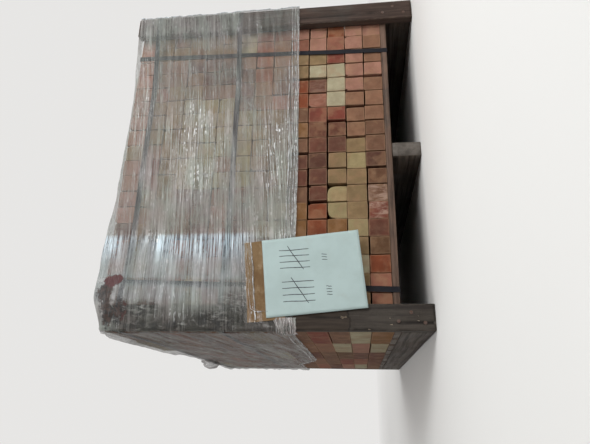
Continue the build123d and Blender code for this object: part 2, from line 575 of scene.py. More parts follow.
@dataclass(frozen=True)
class WoodFinish:
    """Weathered softwood: brown where it is sound, grey and checked where it is not."""

    effects: SharedEffects
    name: str
    axis: GrainAxis
    sound: Point = linear(86, 67, 54)
    dark: Point = linear(44, 34, 28)
    grey: Point = linear(82, 75, 69)
    old_dark: Point = linear(50, 45, 42)
    mould_colour: Point = linear(62, 64, 56)
    end_dark: Point = linear(88, 82, 76)
    end_light: Point = linear(116, 109, 102)
    rubbed: Point = linear(128, 112, 94)
    dirt: Point = linear(48, 40, 34)
    check: Point = linear(24, 19, 16)
    split: Point = linear(26, 22, 19)
    grey_share: float = 0.4
    grey_below: float = 0.0
    checks: float = 0.35
    mould: float = 0.0
    mould_above: float = 0.0

    def build(self) -> Material:
        """Makes the material.

        Returns:
            The material.
        """
        graph = Surface(self.name)
        at = graph.place()
        along = at.stretched((1, 1, 1), self.axis.value)
        wood = graph.group(self.effects.grain, Vector=along, Figure=1.0, Checks=self.checks)
        tone, height = wood["Tone"], at.parts()[2]
        weather = self.effects.patch(along, 9.0, self.grey_share, 0.14)
        over = []
        if self.mould > 0:
            spots = self.effects.patch(at, 26.0, self.mould, 0.06) * height.span(
                self.mould_above, self.mould_above + 0.05)
            over.append((spots * 0.8, self.mould_colour))
        if self.grey_below > 0:
            ragged = height + at.stretched((60, 60, 8)).noise(1.0, 3.0) * 0.03
            low = ragged.span(self.grey_below + 0.022, self.grey_below + 0.012)
            weather = weather.most(low * 0.9)
            crack = graph.math("ABSOLUTE", ragged - (self.grey_below + 0.017))
            over.append((crack.span(0.0035, 0.0012) * 0.8, self.split))
        silver = graph.mix(tone.span(0.35, 0.62), self.old_dark, self.grey)
        end = graph.mix(at.noise(36.0, 4.0, 0.6).span(0.35, 0.62), self.end_dark, self.end_light)
        rubbed = graph.attribute("wood_rim") * at.noise(70.0, 3.0).span(0.42, 0.6)
        colour = graph.mix(tone.span(0.32, 0.66), self.dark, self.sound).under(
            (weather, silver), *over, (graph.attribute("wood_end") * 0.85, end),
            (rubbed * 0.4, self.rubbed),
            (self.effects.patch(at, 15.0, 0.3, 0.2) * 0.4, self.dirt),
            (wood["Check"] * 0.85, self.check),
            (graph.attribute("wood_split") * 0.8, self.split))
        return graph.dressed(colour, tone.between(0.92, 0.74), Specular_IOR_Level=0.25,
                             Normal=graph.bump(wood["Height"], 0.8, 0.0022))


@dataclass(frozen=True)
class StrapFinish:
    """Embossed strapping of dark plastic, scuffed along its length."""

    effects: SharedEffects
    colour: Point = linear(15, 15, 23)
    scuffed: Point = linear(30, 31, 40)
    dust: Point = linear(80, 70, 62)
    emboss: float = 1900.0

    def build(self) -> Material:
        """Makes the material, which reads the strap's own map.

        Returns:
            The material.
        """
        graph = Surface("strap_plastic")
        place = graph.out("ShaderNodeUVMap", uv_map="strap_map")
        u, v, _ = place.parts()
        weave = (u + v).wave(self.emboss) * (u - v).wave(self.emboss)
        scuff = place.stretched((30, 700, 1)).noise(1.0, 4.0, 0.7)
        colour = graph.mix(scuff.span(0.52, 0.7) * 0.5, self.colour, self.scuffed).under(
            (self.effects.patch(place, 24.0, 0.45, 0.2) * 0.10, self.dust))
        return graph.dressed(colour, scuff.between(0.5, 0.7), Specular_IOR_Level=0.18,
                             Normal=graph.bump(weave, 0.35, 0.0003))


@dataclass(frozen=True)
class FilmFinish:
    """Stretch film in several layers: a grey veil streaked light and dark along the pull."""

    effects: SharedEffects
    name: str
    dark: Point = linear(84, 85, 82)
    light: Point = linear(171, 172, 167)
    # Painted reflection: the dark and light ends of a bright blue-grey band.
    painted_reflection_dark: Point = linear(88, 102, 112)
    painted_reflection_light: Point = linear(216, 234, 244)
    # Painted shade: dark lines along the film's creases.
    painted_crease_shade: Point = linear(74, 72, 72)
    # Painted shade, for the film's ends and its left side.
    shaded: Point = linear(48, 37, 29)
    smeared: Point = linear(172, 172, 169)
    blot: Point = linear(9, 9, 9)
    red_stain: Point = linear(66, 6, 10)
    brown_stain: Point = linear(8, 5, 4)
    thin_stain: Point = linear(54, 36, 28)
    # Painted glints: near-white dashes along the glint lines.
    painted_glint: Point = (0.86, 0.87, 0.88)
    sharpness: float = 0.085

    def build(self) -> Material:
        """Makes the material from the film's cover, soil, painted shade, glints and reflection.

        Returns:
            The material.
        """
        graph = Surface(self.name)
        place = graph.out("ShaderNodeUVMap", uv_map="film_map")
        cover, painted_reflection, soil, grey, painted_glint_share, shade = [
            graph.attribute(f"film_{name}") for name in FILM_SHARES]
        fine, wide, painted_glint, painted_crease_shade = [graph.group(
            self.effects.pulls, Map=place, Lines=lines, Run=run, Breaks=breaks, Cover=share,
            Sharpness=edge) for lines, run, breaks, share, edge in (
                (230.0, 5.5, 44.0, 0.40, 0.07), (64.0, 2.5, 10.0, 0.42, 0.2),
                (290.0, 14.0, 80.0, 0.425, 0.05), (40.0, 2.2, 6.0, 0.22, 0.03))]
        patch = place.stretched((6, 12, 1)).noise(1.0, 4.0, 0.6)
        hue = place.stretched((7, 13, 1)).noise(1.0, 4.0, 0.6, 0.4)
        smear = place.stretched((90, 36, 1)).noise(1.0, 6.0, 0.72, 0.6)
        ragged = place.stretched((75, 90, 1)).noise(1.0, 5.0, 0.7, 0.4)
        fine_part = fine["Height"].span(0.5 - self.sharpness, 0.5 + self.sharpness, -0.5, 0.5)
        tone = (painted_glint_share.span(0.25, 0.9, 0.26, 0.74) * fine_part
                + wide["Height"].span(0.38, 0.62, 0.36, 0.64))
        # Painted glints, where the glint share is high.
        painted_glints = painted_glint["Mask"] * (painted_glint_share * patch.span(0.4, 0.6, 0.3, 1.0))
        # Painted shade along the film's creases.
        lines = painted_crease_shade["Mask"] * 0.55
        pale = grey * smear.span(0.44, 0.30, 0.0, 0.65)
        blots = grey * smear.span(0.42, 0.54, 0.06, 1.0) * tone.span(0.35, 0.9, 1.0, 0.5)
        edge = soil + (ragged - 0.5) * 2.2
        stain = edge.span(0.26, 0.52) * soil.span(0.02, 0.2)
        brown = graph.mix(ragged.span(0.42, 0.60), self.brown_stain, self.thin_stain)
        # The layers: a painted blue-grey reflection, painted shade along creases, painted shade,
        # pale and dark smears, the stain, and painted glints on top.
        colour = graph.mix(tone, self.dark, self.light).tinted(
            hue, 0.38, 0.62, ((1.05, 0.96), (0.975, 1.015), (1.0, 0.985))).under(
            (painted_reflection, graph.mix(tone.span(0.0, 1.0), self.painted_reflection_dark, self.painted_reflection_light)),
            (lines, self.painted_crease_shade), (shade * tone.span(0.2, 1.0, 0.90, 0.70), self.shaded),
            (pale, self.smeared), (blots * 0.9, self.blot),
            (stain * tone.span(0.5, 1.0, 0.98, 0.88), graph.mix(grey, self.red_stain, brown)),
            (painted_glints, self.painted_glint))
        opaque = cover * patch.span(0.32, 0.68, 0.78, 1.2) + (tone - 0.5) * 0.28
        for share, most in ((lines, 1.0), (painted_glints, 0.9), (blots, 0.85), (pale, 1.0),
                            (stain, 0.95)):
            opaque = opaque.most(share * most)
        opaque = (opaque * (1.0 - graph.ray("Shadow") * 0.75)).most(0.0).least(0.97)
        height = fine["Height"] * 0.8 + (painted_glint["Height"] * 0.5 + wide["Height"])
        return graph.dressed(colour, painted_glint_share.span(0.2, 0.8, 0.5, 0.26), Alpha=opaque, IOR=1.45,
                             Specular_IOR_Level=0.36, Normal=graph.bump(height, 0.9, 0.0022))


@dataclass(frozen=True)
class RopeFinish:
    """Film twisted into ropes: whiter and glossier than where it lies flat."""

    dark: Point = linear(150, 146, 142)
    light: Point = linear(216, 218, 220)

    def build(self) -> Material:
        """Makes the material.

        Returns:
            The material.
        """
        graph = Surface("film_rope")
        at = graph.place()
        twist = at.stretched((90, 90, 420)).noise(1.0, 3.0, 0.6)
        cover = at.stretched((16, 16, 60)).noise(1.0, 3.0, 0.6).span(0.36, 0.62, 0.2, 0.85)
        return graph.dressed(graph.mix(twist.span(0.4, 0.62), self.dark, self.light),
                             twist.between(0.2, 0.4), Alpha=cover, IOR=1.9,
                             Normal=graph.bump(twist, 0.6, 0.001))


@dataclass(frozen=True)
class CardFinish:
    """Brown corrugated card with flutes showing through and soft creases."""

    effects: SharedEffects
    dark: Point = linear(112, 88, 60)
    light: Point = linear(134, 108, 76)
    damp: Point = linear(92, 66, 42)
    rubbed: Point = linear(188, 168, 138)

    def build(self) -> Material:
        """Makes the material.

        Returns:
            The material.
        """
        graph = Surface("brown_card")
        at = graph.place()
        fibre = at.stretched((240, 240, 900)).noise(1.0, 5.0, 0.7)
        cloud = at.noise(14.0, 4.0, 0.6)
        colour = graph.mix(fibre.between(0.0, 1.0), self.dark, self.light).under(
            (cloud.span(0.42, 0.66, 0.0, 0.55), self.damp),
            (self.effects.patch(at, 40.0, 0.25, 0.1) * 0.35, self.rubbed))
        height = at.parts()[2].wave(900.0) * 0.25 + fibre
        return graph.dressed(colour, cloud.between(0.7, 0.9), Specular_IOR_Level=0.25,
                             Normal=graph.bump(height, 0.5, 0.0008))


@dataclass(frozen=True)
class PaperFinish:
    """Copy paper: nearly white, slightly cockled and handled."""

    effects: SharedEffects
    colour: Point = linear(173, 190, 188)
    cockled: Point = linear(165, 181, 179)
    handled: Point = linear(160, 152, 138)

    def build(self) -> Material:
        """Makes the material.

        Returns:
            The material.
        """
        graph = Surface("white_paper")
        at = graph.place()
        cloud, fibre = at.noise(11.0, 4.0, 0.6), at.noise(900.0, 4.0, 0.7)
        colour = graph.mix(cloud.span(0.35, 0.7), self.colour, self.cockled).under(
            (self.effects.patch(at, 30.0, 0.16, 0.1) * 0.12, self.handled))
        return graph.dressed(colour, fibre.between(0.62, 0.8), Specular_IOR_Level=0.3,
                             Normal=graph.bump(fibre * 0.15 + cloud, 0.35, 0.002))


@dataclass(frozen=True)
class InkFinish:
    """Marker ink, thinner in places."""

    full: Point = linear(34, 36, 40)
    thin: Point = linear(78, 82, 88)

    def build(self) -> Material:
        """Makes the material.

        Returns:
            The material.
        """
        graph = Surface("marker_ink")
        flow = graph.place().noise(240.0, 4.0, 0.6)
        return graph.dressed(graph.mix(flow.span(0.4, 0.7), self.full, self.thin),
                             flow.between(0.45, 0.7))


@dataclass(frozen=True)
class NailFinish:
    """Plain steel nail heads with rust on them."""

    steel: Point = linear(96, 92, 88)
    rust: Point = linear(86, 52, 36)

    def build(self) -> Material:
        """Makes the material.

        Returns:
            The material.
        """
        graph = Surface("rusty_nail")
        rust = graph.place().noise(380.0, 5.0, 0.7).span(0.38, 0.6)
        return graph.dressed(graph.mix(rust, self.steel, self.rust),
                             rust.span(0.0, 1.0, 0.42, 0.9), Metallic=1.0 - rust,
                             Normal=graph.bump(rust, 0.5, 0.0004))


@dataclass(frozen=True)
class FloorFinish:
    """A plain pale floor, a little uneven in its sheen, that fades into the backdrop far away."""

    colour: Point = (0.86, 0.85, 0.83)
    cloudy: Point = (0.82, 0.81, 0.79)
    fade_from: float = 1.7
    fade_to: float = 4.5

    def build(self) -> Material:
        """Makes the material.

        Returns:
            The material.
        """
        graph = Surface("pale_floor")
        at = graph.place()
        cloud = at.noise(2.0, 4.0, 0.5)
        away = graph.out("ShaderNodeVectorMath", {0: at}, "Value", operation="LENGTH")
        far = away.span(self.fade_from, self.fade_to) * graph.seen_ray()
        glow = graph.out("ShaderNodeEmission", {"Color": BACKDROP,
                                                "Strength": BACKDROP_STRENGTH})
        both = graph.out("ShaderNodeMixShader", {
            0: far, 1: Wire(graph, graph.shader.outputs[0]), 2: glow})
        graph.feed(graph.tree.nodes["Material Output"].inputs["Surface"], both)
        return graph.dressed(graph.mix(cloud.between(0.0, 0.25), self.colour, self.cloudy),
                             cloud.between(0.8, 0.9), Specular_IOR_Level=0.2)


# ---- meshes


def keep_values(mesh: bpy.types.Mesh, name: str, kind: str, values: Sequence) -> None:
    """Stores a value for each point of a mesh.

    Args:
        mesh: The mesh.
        name: The attribute's name.
        kind: FLOAT, INT, FLOAT_VECTOR or FLOAT_COLOR.
        values: One for each point.
    """
    label = {"FLOAT_VECTOR": "vector", "FLOAT_COLOR": "color"}.get(kind, "value")
    if label == "color":
        values = [(*value, 1.0) for value in values]
    flat = values if label == "value" else [part for value in values for part in value]
    mesh.attributes.new(name, kind, "POINT").data.foreach_set(label, list(flat))


def set_map(mesh: bpy.types.Mesh, name: str, places: Sequence[Pair]) -> None:
    """Stores a UV map, from one place for each point."""
    flat = [part for loop in mesh.loops for part in places[loop.vertex_index]]
    mesh.uv_layers.new(name=name).data.foreach_set("uv", flat)


def new_piece(name: str, points: Sequence, faces: Sequence, material: Material | None,
              smooth_faces: bool = False, edges: Sequence = ()) -> Piece:
    """Makes an object of a mesh whose place is in its points.

    Args:
        name: The piece's name.
        points: Its points, in metres.
        faces: Its faces.
        material: Its finish, or none.
        smooth_faces: Whether it is shaded smooth.
        edges: Its loose edges.

    Returns:
        The object, in the scene.
    """
    mesh = bpy.data.meshes.new(name)
    mesh.from_pydata([tuple(p) for p in points], edges, faces)
    if material is not None:
        mesh.materials.append(material)
    if smooth_faces:
        mesh.polygons.foreach_set("use_smooth", [True] * len(mesh.polygons))
    mesh.update()
    piece = bpy.data.objects.new(name, mesh)
    bpy.context.scene.collection.objects.link(piece)
    return piece


def settled(piece: Piece, slot: str, node: str = "") -> Piece:
    """Attaches a finished piece to the root body and hides the node that it stands for.

    Args:
        piece: The piece.
        slot: The material slot that its finish is from; it is not used.
        node: The node that it stands for, if any.

    Returns:
        The piece.
    """
    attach(piece, "root")
    if node:
        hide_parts(node)
    return piece


def grown(name: str, tree: Tree, seedbed: Piece, inputs: dict[str, object]) -> Piece:
    """Runs a Geometry Nodes tree on a piece and keeps the result as its plain mesh.

    Args:
        name: The piece's name.
        tree: The tree.
        seedbed: The object that carries the points or edges.
        inputs: The tree's inputs, by name.

    Returns:
        The same object, with the grown mesh and no modifier.
    """
    modifier = seedbed.modifiers.new("grow", "NODES")
    modifier.node_group = tree
    for item in tree.interface.items_tree:
        if item.in_out == "INPUT" and item.name in inputs:
            modifier[item.identifier] = inputs[item.name]
    graph = bpy.context.evaluated_depsgraph_get()
    mesh = bpy.data.meshes.new_from_object(seedbed.evaluated_get(graph),
                                           preserve_all_data_layers=True, depsgraph=graph)
    seedbed.modifiers.remove(modifier)
    old, seedbed.data = seedbed.data, mesh
    bpy.data.meshes.remove(old)
    seedbed.name = mesh.name = name
    return seedbed


def grid_faces(columns: int, rows: int) -> list[Face]:
    """The faces of a sheet whose points run up one column after the other."""
    tall = rows + 1
    return [(a, a + tall, a + tall + 1, a + 1)
            for a in (c * tall + r for c in range(columns) for r in range(rows))]


def box_lattice(low: Vector, high: Vector, step: float, rounding: float,
                ) -> tuple[list[Vector], list[Face], list[float]]:
    """A closed box of even quads with rounded edges.

    Args:
        low: Its lowest corner.
        high: Its highest corner.
        step: About how far apart its points are.
        rounding: The radius of its edges.

    Returns:
        Its points, its outward faces, and for each point whether it is on an edge.
    """
    lines = []
    for start, end in zip(low, high):
        inner = end - start - 2 * rounding
        count = max(1, round(inner / step))
        lines.append([start, *[start + rounding + inner * n / count for n in range(count + 1)],
                      end])
    last = [len(line) - 1 for line in lines]
    index: dict[Face, int] = {}
    points: list[Vector] = []
    rims: list[float] = []

    def point(key: Face) -> int:
        """The number of the point at one place of the lattice."""
        if key not in index:
            index[key] = len(points)
            raw = Vector([lines[a][key[a]] for a in range(3)])
            core = Vector([min(max(raw[a], low[a] + rounding), high[a] - rounding)
                           for a in range(3)])
            edge = sum(key[a] in (0, last[a]) for a in range(3)) > 1
            points.append(core + (raw - core).normalized() * rounding if edge else raw)
            rims.append(float(edge))
        return index[key]

    faces: list[Face] = []
    for a in range(3):
        b, c = (a + 1) % 3, (a + 2) % 3
        for side in (0, last[a]):
            for m, n in ((m, n) for m in range(last[b]) for n in range(last[c])):
                ring = []
                for dm, dn in ((0, 0), (1, 0), (1, 1), (0, 1)):
                    key = [0, 0, 0]
                    key[a], key[b], key[c] = side, m + dm, n + dn
                    ring.append(point(tuple(key)))
                faces.append(tuple(ring if side else reversed(ring)))
    return points, faces, rims


# ---- the bars


class BarShape(Enum):
    """How the arrises of a bar came out of the kiln and the yard."""

    SHARP = 0
    WORN = 1
    CHIPPED_LEFT = 2
    CHIPPED_RIGHT = 3
    ROUND_LEFT = 4
    ROUND_RIGHT = 5


@dataclass(frozen=True)
class Bar:
    """One laid bar."""

    centre: Point
    size: Point
    turn: Point
    tone: Point
    shape: BarShape
    lime: float
    seed: float


def seen_tones() -> dict[int, list[ClayTone]]:
    """The bars of the front row below the film, by course, from left to right."""
    t = ClayTone
    return {
        1: [t.OCHRE, t.SALMON, t.SALMON, t.ORANGE, t.BROWN, t.BROWN_RED, t.RED, t.TAN, t.SMEARED,
            t.DARK_MAUVE, t.TAN, t.TAN, t.WARM_TAN, t.WARM_TAN, t.WARM_TAN, t.PINK_TAN,
            t.WARM_TAN, t.WARM_TAN, t.PINK_TAN, t.MAUVE],
        2: [t.CREAM, t.BUFF, t.BUFF, t.CREAM, t.BUFF, t.YELLOW_CREAM, t.BUFF, t.BUFF, t.BUFF,
            t.YELLOW_CREAM, t.BUFF, t.WARM_TAN, t.WARM_TAN, t.WARM_TAN, t.PINK_TAN, t.PINK_TAN,
            t.PINK_TAN, t.PINK_TAN, t.PINK_TAN, t.SALMON],
        3: [t.TAN, t.BROWN, t.TAN, t.BROWN, t.TAN, t.OCHRE, t.YELLOW_CREAM, t.YELLOW_CREAM,
            t.BUFF, t.BUFF, t.MAUVE, t.BROWN_RED, t.RED, t.CREAM, t.CREAM, t.CREAM, t.RED,
            t.SALMON, t.ORANGE, t.RED],
        4: [t.RED, t.TAN, t.BROWN_RED, t.ORANGE, t.RED, t.ORANGE, t.ORANGE, t.BROWN_RED, t.MAUVE,
            t.DARK_MAUVE, t.BROWN_RED, t.BROWN_RED, t.RED, t.SALMON, t.BROWN_RED, t.CREAM,
            t.BUFF, t.PINK_TAN, t.PINK_TAN, t.SALMON],
        5: [t.TAN, t.TAN, t.OCHRE, t.TAN, t.TAN, t.OCHRE, t.OCHRE, t.TAN, t.BROWN_RED, t.MAUVE,
            t.TAN, t.OCHRE, t.TAN, t.ORANGE, t.ORANGE, t.BUFF, t.BUFF, t.SALMON, t.PINK_TAN,
            t.MAUVE]}


def veiled_tone(course: int, number: int) -> ClayTone | None:
    """The tone of a front bar that shows faintly through the film.

    Args:
        course: The bar's course, from 1 at the deck.
        number: The bar's place in it, from 0 at the left.

    Returns:
        The tone, or none where the bar can't be told from its neighbours.
    """
    for low, high, first, last, tone in (
            (14, 14, 3, 19, ClayTone.PINK_TAN), (12, 13, 5, 14, ClayTone.BUFF),
            (10, 11, 5, 7, ClayTone.MAUVE), (8, 11, 8, 13, ClayTone.YELLOW_CREAM),
            (6, 7, 6, 12, ClayTone.BUFF), (9, 11, 15, 16, ClayTone.MAUVE),
            (9, 13, 17, 18, ClayTone.BUFF), (8, 8, 16, 18, ClayTone.CREAM),
            (7, 7, 15, 19, ClayTone.SALMON), (6, 6, 15, 16, ClayTone.MAUVE),
            (6, 6, 17, 19, ClayTone.RED)):
        if low <= course <= high and first <= number <= last:
            return tone
    return None


@dataclass
class BarLoad:
    """The courses of clay bars, laid end-on, each of twenty across and up to five deep."""

    effects: SharedEffects
    bar_width: float = 0.0500
    bar_height: float = 0.0555
    bar_length: float = 0.2394
    bars_across: int = 20
    rows_deep: int = 5
    courses: int = 14
    rows_in_last_course: int = 2
    joint: float = 0.0007
    wide_gap: float = 0.0038
    deck_top: float = 0.098
    chip_depth: float = 0.0014
    edge_round: float = 0.0008
    big_round: float = 0.025
    shape_seed: int = 40
    course_seed: int = 900
    new_run: float = 0.62
    veiled_share: float = 0.85
    seen_gaps: dict[int, Face] = field(default_factory=lambda: {
        1: (9, 12, 15), 2: (11, 13, 15), 3: (8, 12, 16), 4: (7, 15), 5: (10, 15)})
    sunk: dict[Face, float] = field(default_factory=lambda: {
        (1, 15): 0.035, (1, 16): 0.05, (1, 8): 0.03, (2, 12): 0.03, (3, 11): 0.03, (3, 9): 0.02,
        (4, 6): 0.03, (4, 7): 0.05})
    odd: dict[Face, dict[str, object]] = field(default_factory=lambda: {
        (3, 6): {"shape": BarShape.ROUND_LEFT}, (3, 7): {"shape": BarShape.ROUND_RIGHT},
        (3, 15): {"roll": -0.035, "wide": 0.955}, (1, 6): {"lime": 0.8}, (1, 7): {"lime": 0.8},
        (4, 13): {"lime": 0.25}, (4, 14): {"lime": 0.25}, (14, 0): {"tall": 0.66},
        (14, 1): {"tall": 0.88}})
    wide_gaps: tuple[Face, ...] = (
        (9, 15), (13, 15), (8, 12), (7, 15), (10, 15), (6, 14), (9, 16),
        (4, 12), (8, 15), (11, 17), (5, 13), (9, 14), (7, 15), (3, 12))

    def width(self) -> float:
        """The load's whole width."""
        return (self.bars_across * self.bar_width + (self.bars_across - 3) * self.joint
                + 2 * self.wide_gap)

    def depth(self) -> float:
        """The load's whole depth."""
        return self.rows_deep * (self.bar_length + self.joint) - self.joint

    def half(self) -> Vector:
        """Half the size of a bar."""
        return Vector((self.bar_width, self.bar_length, self.bar_height)) / 2

    def shaped(self, shape: BarShape) -> bpy.types.Mesh:
        """Makes the mesh of one bar shape.

        Args:
            shape: The shape.

        Returns:
            The mesh, which keeps each point's place in the bar and whether it is on an arris.
        """
        half = self.half()

        def on_rim(p: Vector, reach: float) -> bool:
            """Whether a point is on an arris."""
            return sum(abs(abs(p[a]) - half[a]) < reach for a in range(3)) > 1

        draw = random.Random(self.shape_seed + shape.value)
        work = bmesh.new()
        bmesh.ops.create_cube(work, size=2.0)
        bmesh.ops.scale(work, vec=half, verts=work.verts)
        bmesh.ops.bevel(work, geom=list(work.edges), offset=self.edge_round, segments=1,
                        affect="EDGES")
        side = {BarShape.CHIPPED_LEFT: -1, BarShape.ROUND_LEFT: -1, BarShape.SHARP: 0.4,
                BarShape.WORN: -0.3}.get(shape, 1)
        chip = shape in (BarShape.CHIPPED_LEFT, BarShape.CHIPPED_RIGHT)
        rounded = shape in (BarShape.ROUND_LEFT, BarShape.ROUND_RIGHT)
        ragged = 0.0002 if shape is BarShape.SHARP else 0.0005
        cuts = [(1, -0.9 * half.y), (1, 0.9 * half.y)]
        if chip or rounded:
            insets = (self.big_round, 0.012, 0.004) if rounded else (0.006,)
            cuts += [(axis, way * half[axis] - way * inset) for inset in insets
                     for axis, way in ((0, side), (2, 1))]
        else:
            cuts += [(0, side * half.x), (2, 0.3 * side * half.z)]
        for axis, place in cuts:
            flat = Vector([float(a == axis) for a in range(3)])
            bmesh.ops.bisect_plane(work, geom=work.verts[:] + work.edges[:] + work.faces[:],
                                   plane_co=flat * place, plane_no=flat)
        for vert in work.verts:
            p = vert.co
            if on_rim(p, 1.5 * self.edge_round):
                vert.co -= Vector([math.copysign(draw.uniform(0, 2 * ragged), c) for c in p])
            corner = p.x * side > half.x - 0.003 and p.z > half.z - 0.003
            if chip and corner and abs(p.y) > 0.95 * half.y:
                vert.co -= Vector((side * 0.0045, math.copysign(0.005, p.y), 0.0050))
            elif rounded:
                from_x = max(0.0, self.big_round - (half.x - p.x * side))
                from_z = max(0.0, self.big_round - (half.z - p.z))
                away = math.hypot(from_x, from_z)
                if away > self.big_round:
                    vert.co -= Vector((side * from_x, 0, from_z)) * (1 - self.big_round / away)
        work.verts.index_update()
        local = [vert.co[:] for vert in work.verts]
        faces = sorted([vert.index for vert in face.verts] for face in work.faces)
        work.free()
        mesh = bpy.data.meshes.new("bar_shape")
        mesh.from_pydata(local, [], faces)
        keep_values(mesh, "bar_local", "FLOAT_VECTOR", local)
        keep_values(mesh, "bar_rim", "FLOAT", [float(on_rim(p, 0.004)) for p in local])
        return mesh

    def tree(self) -> Tree:
        """The tree that lays a shape at each point and knocks chips off the arrises.

        Returns:
            The tree.
        """
        graph = Growth("Bars of a course", Shapes="NodeSocketCollection", Chip_Depth=0.003,
                       Chip_Size=46.0, Chip_Cover=0.6, Seed=7)
        given = graph.given
        shelf = graph.out("GeometryNodeCollectionInfo", {
            "Collection": given["Shapes"], "Separate Children": True, "Reset Children": True})
        bars = graph.on_points(shelf, "bar_turn", "bar_size", Pick_Instance=True,
                               Instance_Index=graph.named("bar_shape", "INT"))
        where = graph.out("GeometryNodeInputPosition")
        knocked = graph.math("GREATER_THAN", where.seeded(given["Chip Size"], given["Seed"]),
                             given["Chip Cover"])
        deep = knocked * graph.named("bar_rim", "FLOAT") * (given["Chip Depth"] * -1.0)
        way = graph.vector("NORMALIZE", graph.named("bar_local"))
        return graph.dressed(graph.out("GeometryNodeSetPosition", {
            "Geometry": bars, "Offset": graph.vector("SCALE", way, deep)}))

    def lay(self, course: int) -> list[Bar]:
        """Lays out one course.

        Args:
            course: Its number, from 1 at the deck.

        Returns:
            Its bars.
        """
        draw = random.Random(self.course_seed + course)
        usual = {ClayTone.TAN: 16, ClayTone.WARM_TAN: 16, ClayTone.PINK_TAN: 14,
                 ClayTone.SALMON: 12, ClayTone.BROWN_RED: 9, ClayTone.MAUVE: 9, ClayTone.BUFF: 8,
                 ClayTone.RED: 7, ClayTone.OCHRE: 4, ClayTone.BROWN: 5, ClayTone.CREAM: 4,
                 ClayTone.YELLOW_CREAM: 3, ClayTone.ORANGE: 4}
        seen = seen_tones().get(course)
        rows = self.rows_in_last_course if course == self.courses else self.rows_deep
        base = self.deck_top + (course - 1) * self.bar_height
        bars = []
        for row in range(rows):
            x, run, front = -self.width() / 2, ClayTone.TAN, row == 0
            for number in range(self.bars_across):
                odd = self.odd.get((course, number), {}) if front else {}
                if number == 0 or draw.random() < self.new_run:
                    run = draw.choices(list(usual), list(usual.values()))[0]
                tone = seen[number] if front and seen else run
                if front and draw.random() < self.veiled_share:
                    tone = veiled_tone(course, number) or tone
                if (course, row, number) in ((1, 1, 0), (3, 1, 0)):
                    tone = ClayTone.CREAM
                shade = draw.uniform(0.93, 1.07)
                tight = draw.random() < 0.70 and 0 < number < self.bars_across - 1
                wide = draw.uniform(1.006, 1.014) if tight else draw.uniform(0.945, 0.98)
                tall = draw.uniform(0.972, 0.999) - (0.04 if draw.random() < 0.22 else 0.0)
                if front:
                    if {number, number + 1} & set(self.seen_gaps.get(course, ())):
                        wide = 0.905
                    tall -= 0.028 if course == 4 else 0.0
                    tall -= self.sunk.get((course, number), 0.0)
                long = draw.uniform(0.980, 0.998)
                shape = draw.choices(list(BarShape), [50, 34, 8, 8, 0, 0])[0]
                yaw, roll = draw.gauss(0, 0.0022), draw.gauss(0, 0.006)
                lime = odd.get("lime", draw.uniform(0.0, 0.05))
                tall = odd.get("tall", tall)
                away = draw.uniform(-0.8, 0.8) * (self.bar_length * (1 - long) / 2)
                bars.append(Bar(
                    centre=(x + self.bar_width / 2,
                            -self.depth() / 2 + self.bar_length / 2
                            + row * (self.bar_length + self.joint) + away,
                            base + self.bar_height * tall / 2),
                    size=(odd.get("wide", wide), long, tall),
                    turn=(0.0, odd.get("roll", roll), yaw),
                    tone=tuple(c * shade for c in tone.value), shape=odd.get("shape", shape),
                    lime=lime, seed=draw.random() * 9))
                wide_here = number + 1 in self.wide_gaps[course - 1]
                x += self.bar_width + (self.wide_gap if wide_here else self.joint)
        return bars

    def build(self) -> list[Piece]:
        """Makes each course as a piece that stands for its node.

        Returns:
            The courses.
        """
        finish, tree = ClayFinish(self.effects, tuple(self.half())).build(), self.tree()
        shelf, made = bpy.data.collections.new("bar_shapes"), []
        for shape in BarShape:
            shelf.objects.link(bpy.data.objects.new(f"bar_shape_{shape.value}",
                                                    self.shaped(shape)))
        for course in range(1, self.courses + 1):
            bars = self.lay(course)
            bed = new_piece("course", [bar.centre for bar in bars], [], None)
            for name, kind in (("size", "FLOAT_VECTOR"), ("turn", "FLOAT_VECTOR"),
                               ("tone", "FLOAT_COLOR"), ("lime", "FLOAT"), ("seed", "FLOAT")):
                keep_values(bed.data, f"bar_{name}", kind, [getattr(bar, name) for bar in bars])
            keep_values(bed.data, "bar_shape", "INT", [bar.shape.value for bar in bars])
            piece = grown(f"laid_course_{course:02d}", tree, bed, {
                "Shapes": shelf, "Finish": finish, "Chip Depth": self.chip_depth,
                "Seed": course})
            made.append(settled(piece, "terracotta", f"bar_course_{course:02d}"))
        for shape in list(shelf.objects):
            bpy.data.meshes.remove(shape.data)
        bpy.data.collections.remove(shelf)
        return made


# ---- the timber


@dataclass(frozen=True)
class Split:
    """A split that runs up the front of an upright timber."""

    x: float
    low: float
    high: float
    width: float = 0.003
    depth: float = 0.003

    def near(self, p: Vector, shift: float) -> float:
        """How near a point is to the split's wandering middle, from 0 to 1."""
        return smooth(self.width, self.width * 0.3,
                      abs(p.x - (self.x + 0.004 * wobble(p.z * 18, shift))))

    def along(self, p: Vector) -> float:
        """1 along the split, less near its ends."""
        return smooth(self.low, self.low + 0.03, p.z) * smooth(self.high, self.high - 0.05, p.z)


